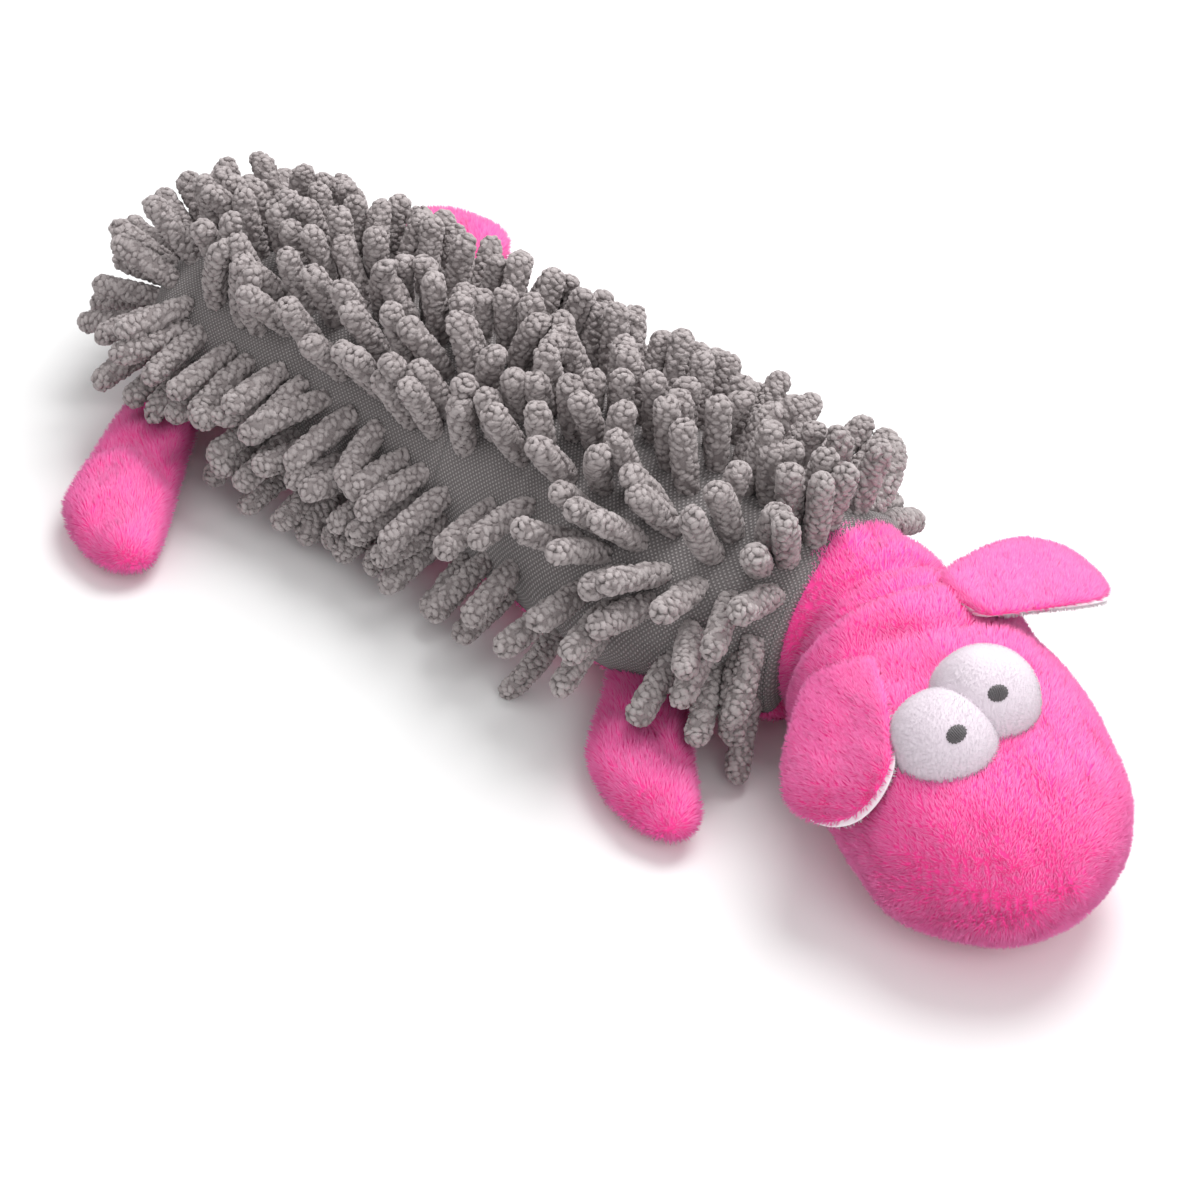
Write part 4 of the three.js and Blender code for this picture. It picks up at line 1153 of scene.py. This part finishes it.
# Eyes, each with a pupil: a pad of satin stitches that follows the dome
def eye_skin(side):
    """A dome, r = radius cos t and z = rise sin t, on a straight wall that sinks into the face."""
    origin, axes = eye_place(side)

    def place(u, v):
        t = QUARTER * np.clip((u - EYE_WALL_SHARE) / (1 - EYE_WALL_SHARE), 0, 1)
        sink = EYE_SINK * np.clip((EYE_WALL_SHARE - u) / EYE_WALL_SHARE, 0, 1)
        r = EYE_RADIUS * np.cos(t)
        angle = v * 2 * math.pi
        local = np.stack([r * np.cos(angle), r * np.sin(angle), EYE_RISE * np.sin(t) - sink], axis=-1)
        return placed(local, origin, axes)

    return patch(place, 44, 72, flip=True)


def pupil_skin(side, forward, inward):
    """An oval on the dome with a slightly ragged edge and a ridge to each stitch, closed round its rim."""
    origin, axes = eye_place(side)

    def place(u, v):
        angle = v * 2 * math.pi
        ragged = 1 + 0.05 * np.sin(angle * 17) + 0.03 * np.sin(angle * 31 + 1)
        x = forward + PUPIL_SIZE[0] * u * np.cos(angle) * ragged
        y = -side * inward + PUPIL_SIZE[1] * u * np.sin(angle) * ragged
        dome = EYE_RISE * np.sqrt(np.clip(1 - (np.hypot(x, y) / EYE_RADIUS) ** 2, 0, 1))
        ridges = STITCH_HEIGHT * np.sin(2 * math.pi * y / STITCH_PITCH)
        z = dome + PUPIL_HEIGHT * np.sqrt(np.clip(1.02 - u ** 2, 0, 1)) + ridges * (1 - u ** 4)
        z = np.where(u > 0.985, dome - PUPIL_EDGE_SUNK, z)
        return placed(np.stack([x, y, z], axis=-1), origin, axes)

    return patch(place, 22, 96)


for name, side in (("left", 1), ("right", -1)):
    eye = plush_piece("eye_velour_" + name, eye_skin(side), "white_velour", 9000, outward(0.25), 95 + side,
                      length=0.8, width=0.42, tuft=0.15, tuft_mm=2.0)
    dress(eye, "head", ["eye_pad_" + name, "eye_wad_" + name])
for name, side in (("left", 1), ("right", -1)):
    shape = pupil_skin(side, *PUPILS[name])
    pupil = new_piece("pupil_stitched_" + name, shape, finishes["dark_thread"])
    dress(pupil, "head", ["pupil_" + name])


# Ears
def ear_frame(name, ear):
    """An ear's root and axes: x along the flap, and z up through it."""
    joint = f"ear_{name}_flap"
    x_axis = ear["side"] * joint_axis(joint)
    z_axis = face_axes[:, 2]
    axes = np.stack([x_axis, np.cross(z_axis, x_axis), z_axis], axis=1)
    flap = turn(0, -ear["side"] * ear["droop"]) @ turn(1, ear["roll"]) @ turn(2, ear["side"] * QUARTER)
    return joint_place(joint), axes @ flap


def ear_rim(across, side):
    """The sheet's height across the ear: up towards the front rim and down towards the rear one."""
    front = -side * across / EAR["half_width"]
    return np.where(front > 0, EAR_FRONT_UP, -EAR_REAR_DOWN) * front ** 2


def ear_skin(name, ear, top):
    """The flap's upper half, or its lining, which is larger and turns up round the rim."""
    origin, axes = ear_frame(name, ear)
    form = {**EAR, "lifts": [share * EAR_ARCH for share in EAR_ARCH_SHARES]}
    form["length"] = EAR["length"] + (EAR_PILE_LENGTHEN if top else EAR_PILE_LENGTHEN + EAR_LINING_SHOWS)
    if not top:
        shift = -ear["side"] * EAR_LINING_SHIFT
        form.update(wide_shares=EAR_LINING_WIDE_SHARES, drifts=[0, 0, shift, shift, shift])

    def place(u, v):
        distance = form["length"] * np.sin(u * QUARTER)
        angle = math.pi * v if top else -2 * math.pi * v
        points = form_points(form, distance, angle)
        sheet = section(form, distance)["middle"]
        thinner = EAR_THINNER if top else np.where(np.sin(angle) > 0, EAR_LINING_UPPER, EAR_THINNER)
        points[..., 2] = sheet + (points[..., 2] - sheet) * thinner
        points[..., 2] += ear_rim(points[..., 1], ear["side"]) + (EAR_LIFT if top else -EAR_LINING_DROP)
        return placed(points, origin, axes)

    return patch(place, 40, 44 if top else 64, flip=top)


def lining_hidden(points, name, ear):
    """True on the lining's upper side, which the outer plush covers, and at its root."""
    origin, axes = ear_frame(name, ear)
    local = (points - origin) @ axes
    share = np.clip(local[:, 0] / EAR["length"], 0, 1)
    sheet = smooth_table(EAR["along_shares"], np.array(EAR_ARCH_SHARES) * EAR_ARCH, share)
    covered = local[:, 2] > sheet + ear_rim(local[:, 1], ear["side"]) - EAR_COVERED
    return covered | (local[:, 0] < EAR_ROOT_BARE)


for number, (name, ear) in enumerate(EARS.items()):
    comb = one_way(-0.5 * head_axes[:, 0] + 0.2 * ear_frame(name, ear)[1][:, 0])
    outer = plush_piece("ear_outer_pile_" + name, ear_skin(name, ear, True), "pink_plush", 10000, comb,
                        100 + number, length=2.1)
    dress(outer, "ear_" + name, ["ear_outer_" + name])
    lining = plush_piece("ear_lining_pile_" + name, ear_skin(name, ear, False), "white_plush", 9000,
                         outward(0.5), 110 + number, length=1.5,
                         bare=lambda points: lining_hidden(points, name, ear))
    dress(lining, "ear_" + name, ["ear_lining_" + name])


# Legs
def leg_skin(name, leg, top):
    """Upper or sole panel of a paddle, which leans forward along its length and dips to the floor."""
    side = leg["side"]
    swing = turn(0, side * leg["raise"])
    origin = joint_place(f"leg_{name}_flap") + swing @ np.array([0, -side * LEG_REACH, 0])
    axes = swing @ turn(2, side * QUARTER)
    form = {
        **LEG, "length": leg["length"],
        "drifts": [-side * leg["forward"] * share for share in LEG["along_shares"]],
        "lifts": [(LEG_FOOT_HEIGHT - LEG_ROOT_HEIGHT) * share for share in LEG["along_shares"]],
    }

    def place(u, v):
        spread = np.clip((u * LEG_ROWS - 1) / (LEG_ROWS - 1), 0, 1)
        distance = LEG_START + (leg["length"] - LEG_START) * np.sin(spread * QUARTER)
        angle = math.pi * v if top else -math.pi * v
        points = form_points(form, distance, angle)
        lumps = LEG_LUMP * waves(points, 22, 13 + len(name)) * np.abs(np.sin(angle))
        if top:
            middle = leg["length"] * LEG_FOLD_SHARE + LEG_FOLD_SWAY * waves(points, 30, 31)
            fold = LEG_FOLD_DEPTH * np.exp(-((distance - middle) / LEG_FOLD_REACH) ** 2)
            lumps = lumps - fold * np.abs(np.sin(angle)) * leg["length"] / LEG["length"]
        points[..., 2] += lumps * (1 if top else LEG_SOLE_LUMP_SHARE)
        # The first row lies flat at the section's middle, so that the root is closed.
        points[..., 2] = np.where(u > 0, points[..., 2], section(form, distance)["middle"])
        points[..., 2] += LEG_PANEL_GAP if top else -LEG_PANEL_GAP
        return placed(points, origin, axes)

    return rested(patch(place, LEG_ROWS, 56, flip=top), LEG_FLOOR)


for number, (name, leg) in enumerate(LEGS.items()):
    count = round(LEG_STRANDS_PER_MM * leg["length"])
    upper = plush_piece("leg_upper_pile_" + name, leg_skin(name, leg, True), "pink_plush", count,
                        one_way(LEG_NAP), 120 + number, length=2.8)
    dress(upper, "leg_" + name, ["leg_upper_" + name])
    sole = plush_piece("leg_sole_pile_" + name, leg_skin(name, leg, False), "pink_plush", count // 2,
                       one_way(LEG_NAP), 130 + number, length=SOLE_PILE, bare=below(3))
    dress(sole, "leg_" + name, ["leg_sole_" + name])

# Finishes of the CAD nodes that stay
for row in frame["record"]["subparts"]:
    node = frame["nodes"][row["node"]]
    node.data.materials.clear()
    node.data.materials.append(finishes[row["material_slot"]])


# Floor, light and camera
def staged_floor():
    """A pale paper floor that ends far outside the view."""
    def place(u, v):
        x, y = (u - 0.5) * 2 * FLOOR_REACH, (v - 0.5) * 2 * FLOOR_REACH
        return np.stack([x, y, 0 * u - FLOOR_DROP], axis=-1)

    material, tree, shader = new_material("white_paper_matt", Roughness=0.9, IOR=1.45, Specular_IOR_Level=0.0)
    spot = add(tree, "TexCoord").outputs["Object"]
    cloudy = add(tree, "TexNoise", {"Vector": spot, "Scale": 1 / (300 * MM), "Detail": 1})
    colour = add(tree, "Mix", {0: cloudy.outputs["Fac"], MIX_A: "e4e4e4", MIX_B: "e8e8e8"}, data_type="RGBA")
    tree.links.new(colour.outputs[MIXED], shader.inputs["Base Color"])
    reached = add(tree, "VectorMath", {0: spot}, operation="LENGTH").outputs["Value"]
    far = add(tree, "MapRange", {"Value": reached, "From Min": FLOOR_FADE[0], "From Max": FLOOR_FADE[1]})
    camera_ray = add(tree, "LightPath").outputs["Is Camera Ray"]
    white = add(tree, "Math", {0: far.outputs["Result"], 1: camera_ray}, operation="MULTIPLY")
    backdrop = add(tree, "Emission", {"Color": "ffffff", "Strength": 1})
    both = add(tree, "MixShader", {0: white.outputs[0], 1: shader.outputs[0], 2: backdrop.outputs[0]})
    tree.links.new(both.outputs[0], tree.nodes["Material Output"].inputs["Surface"])
    floor = new_piece("floor", patch(place, 1, 1), material)


def studio():
    """An even white surround, one large soft lamp above and a weaker one in front on the right."""
    world = bpy.data.worlds.new("studio")
    bpy.context.scene.world = world
    world.use_nodes = True
    tree = world.node_tree
    background = tree.nodes["Background"]
    background.inputs["Color"].default_value = linear("ffffff")
    rays = add(tree, "LightPath").outputs
    seen = rays["Is Camera Ray"]
    for ray in ("Is Glossy Ray", "Is Transmission Ray"):
        seen = add(tree, "Math", {0: seen, 1: rays[ray]}, operation="MAXIMUM").outputs[0]
    strength = add(tree, "MapRange", {"Value": seen, "To Min": WORLD_LIGHT, "To Max": 1})
    tree.links.new(strength.outputs["Result"], background.inputs["Strength"])
    for name, (place, power) in LAMPS.items():
        lamp = bpy.data.lights.new(name, "AREA")
        lamp.shape = "DISK"
        lamp.size = LAMP_SIZE * MM
        lamp.energy = power
        aimed(name, lamp, np.array(place, float), LAMP_TARGET)


def aimed(name, data, place, target):
    """A lamp or camera that stands at place, its -Z axis towards target and its Y axis up."""
    piece = bpy.data.objects.new(name, data)
    bpy.context.scene.collection.objects.link(piece)
    back = unit(place - target)
    right = unit(np.cross(UP, back))
    matrix = np.eye(4)
    matrix[:3, :3] = np.stack([right, np.cross(back, right), back], axis=1)
    matrix[:3, 3] = place * MM
    piece.matrix_world = Matrix(matrix)
    return piece


def camera():
    """A level camera in the direction of the azimuth and elevation, turned to its target."""
    data = bpy.data.cameras.new("camera")
    data.lens = CAMERA_LENS
    data.sensor_width = FILM_WIDTH
    data.sensor_fit = "HORIZONTAL"
    flat = math.cos(CAMERA_ELEVATION)
    back = np.array([
        math.sin(CAMERA_AZIMUTH) * flat, -math.cos(CAMERA_AZIMUTH) * flat, math.sin(CAMERA_ELEVATION)])
    place = CAMERA_TARGET + CAMERA_DISTANCE * back
    bpy.context.scene.camera = aimed("camera", data, place, CAMERA_TARGET)


staged_floor()
studio()
camera()
bpy.context.scene.view_settings.view_transform = "Standard"
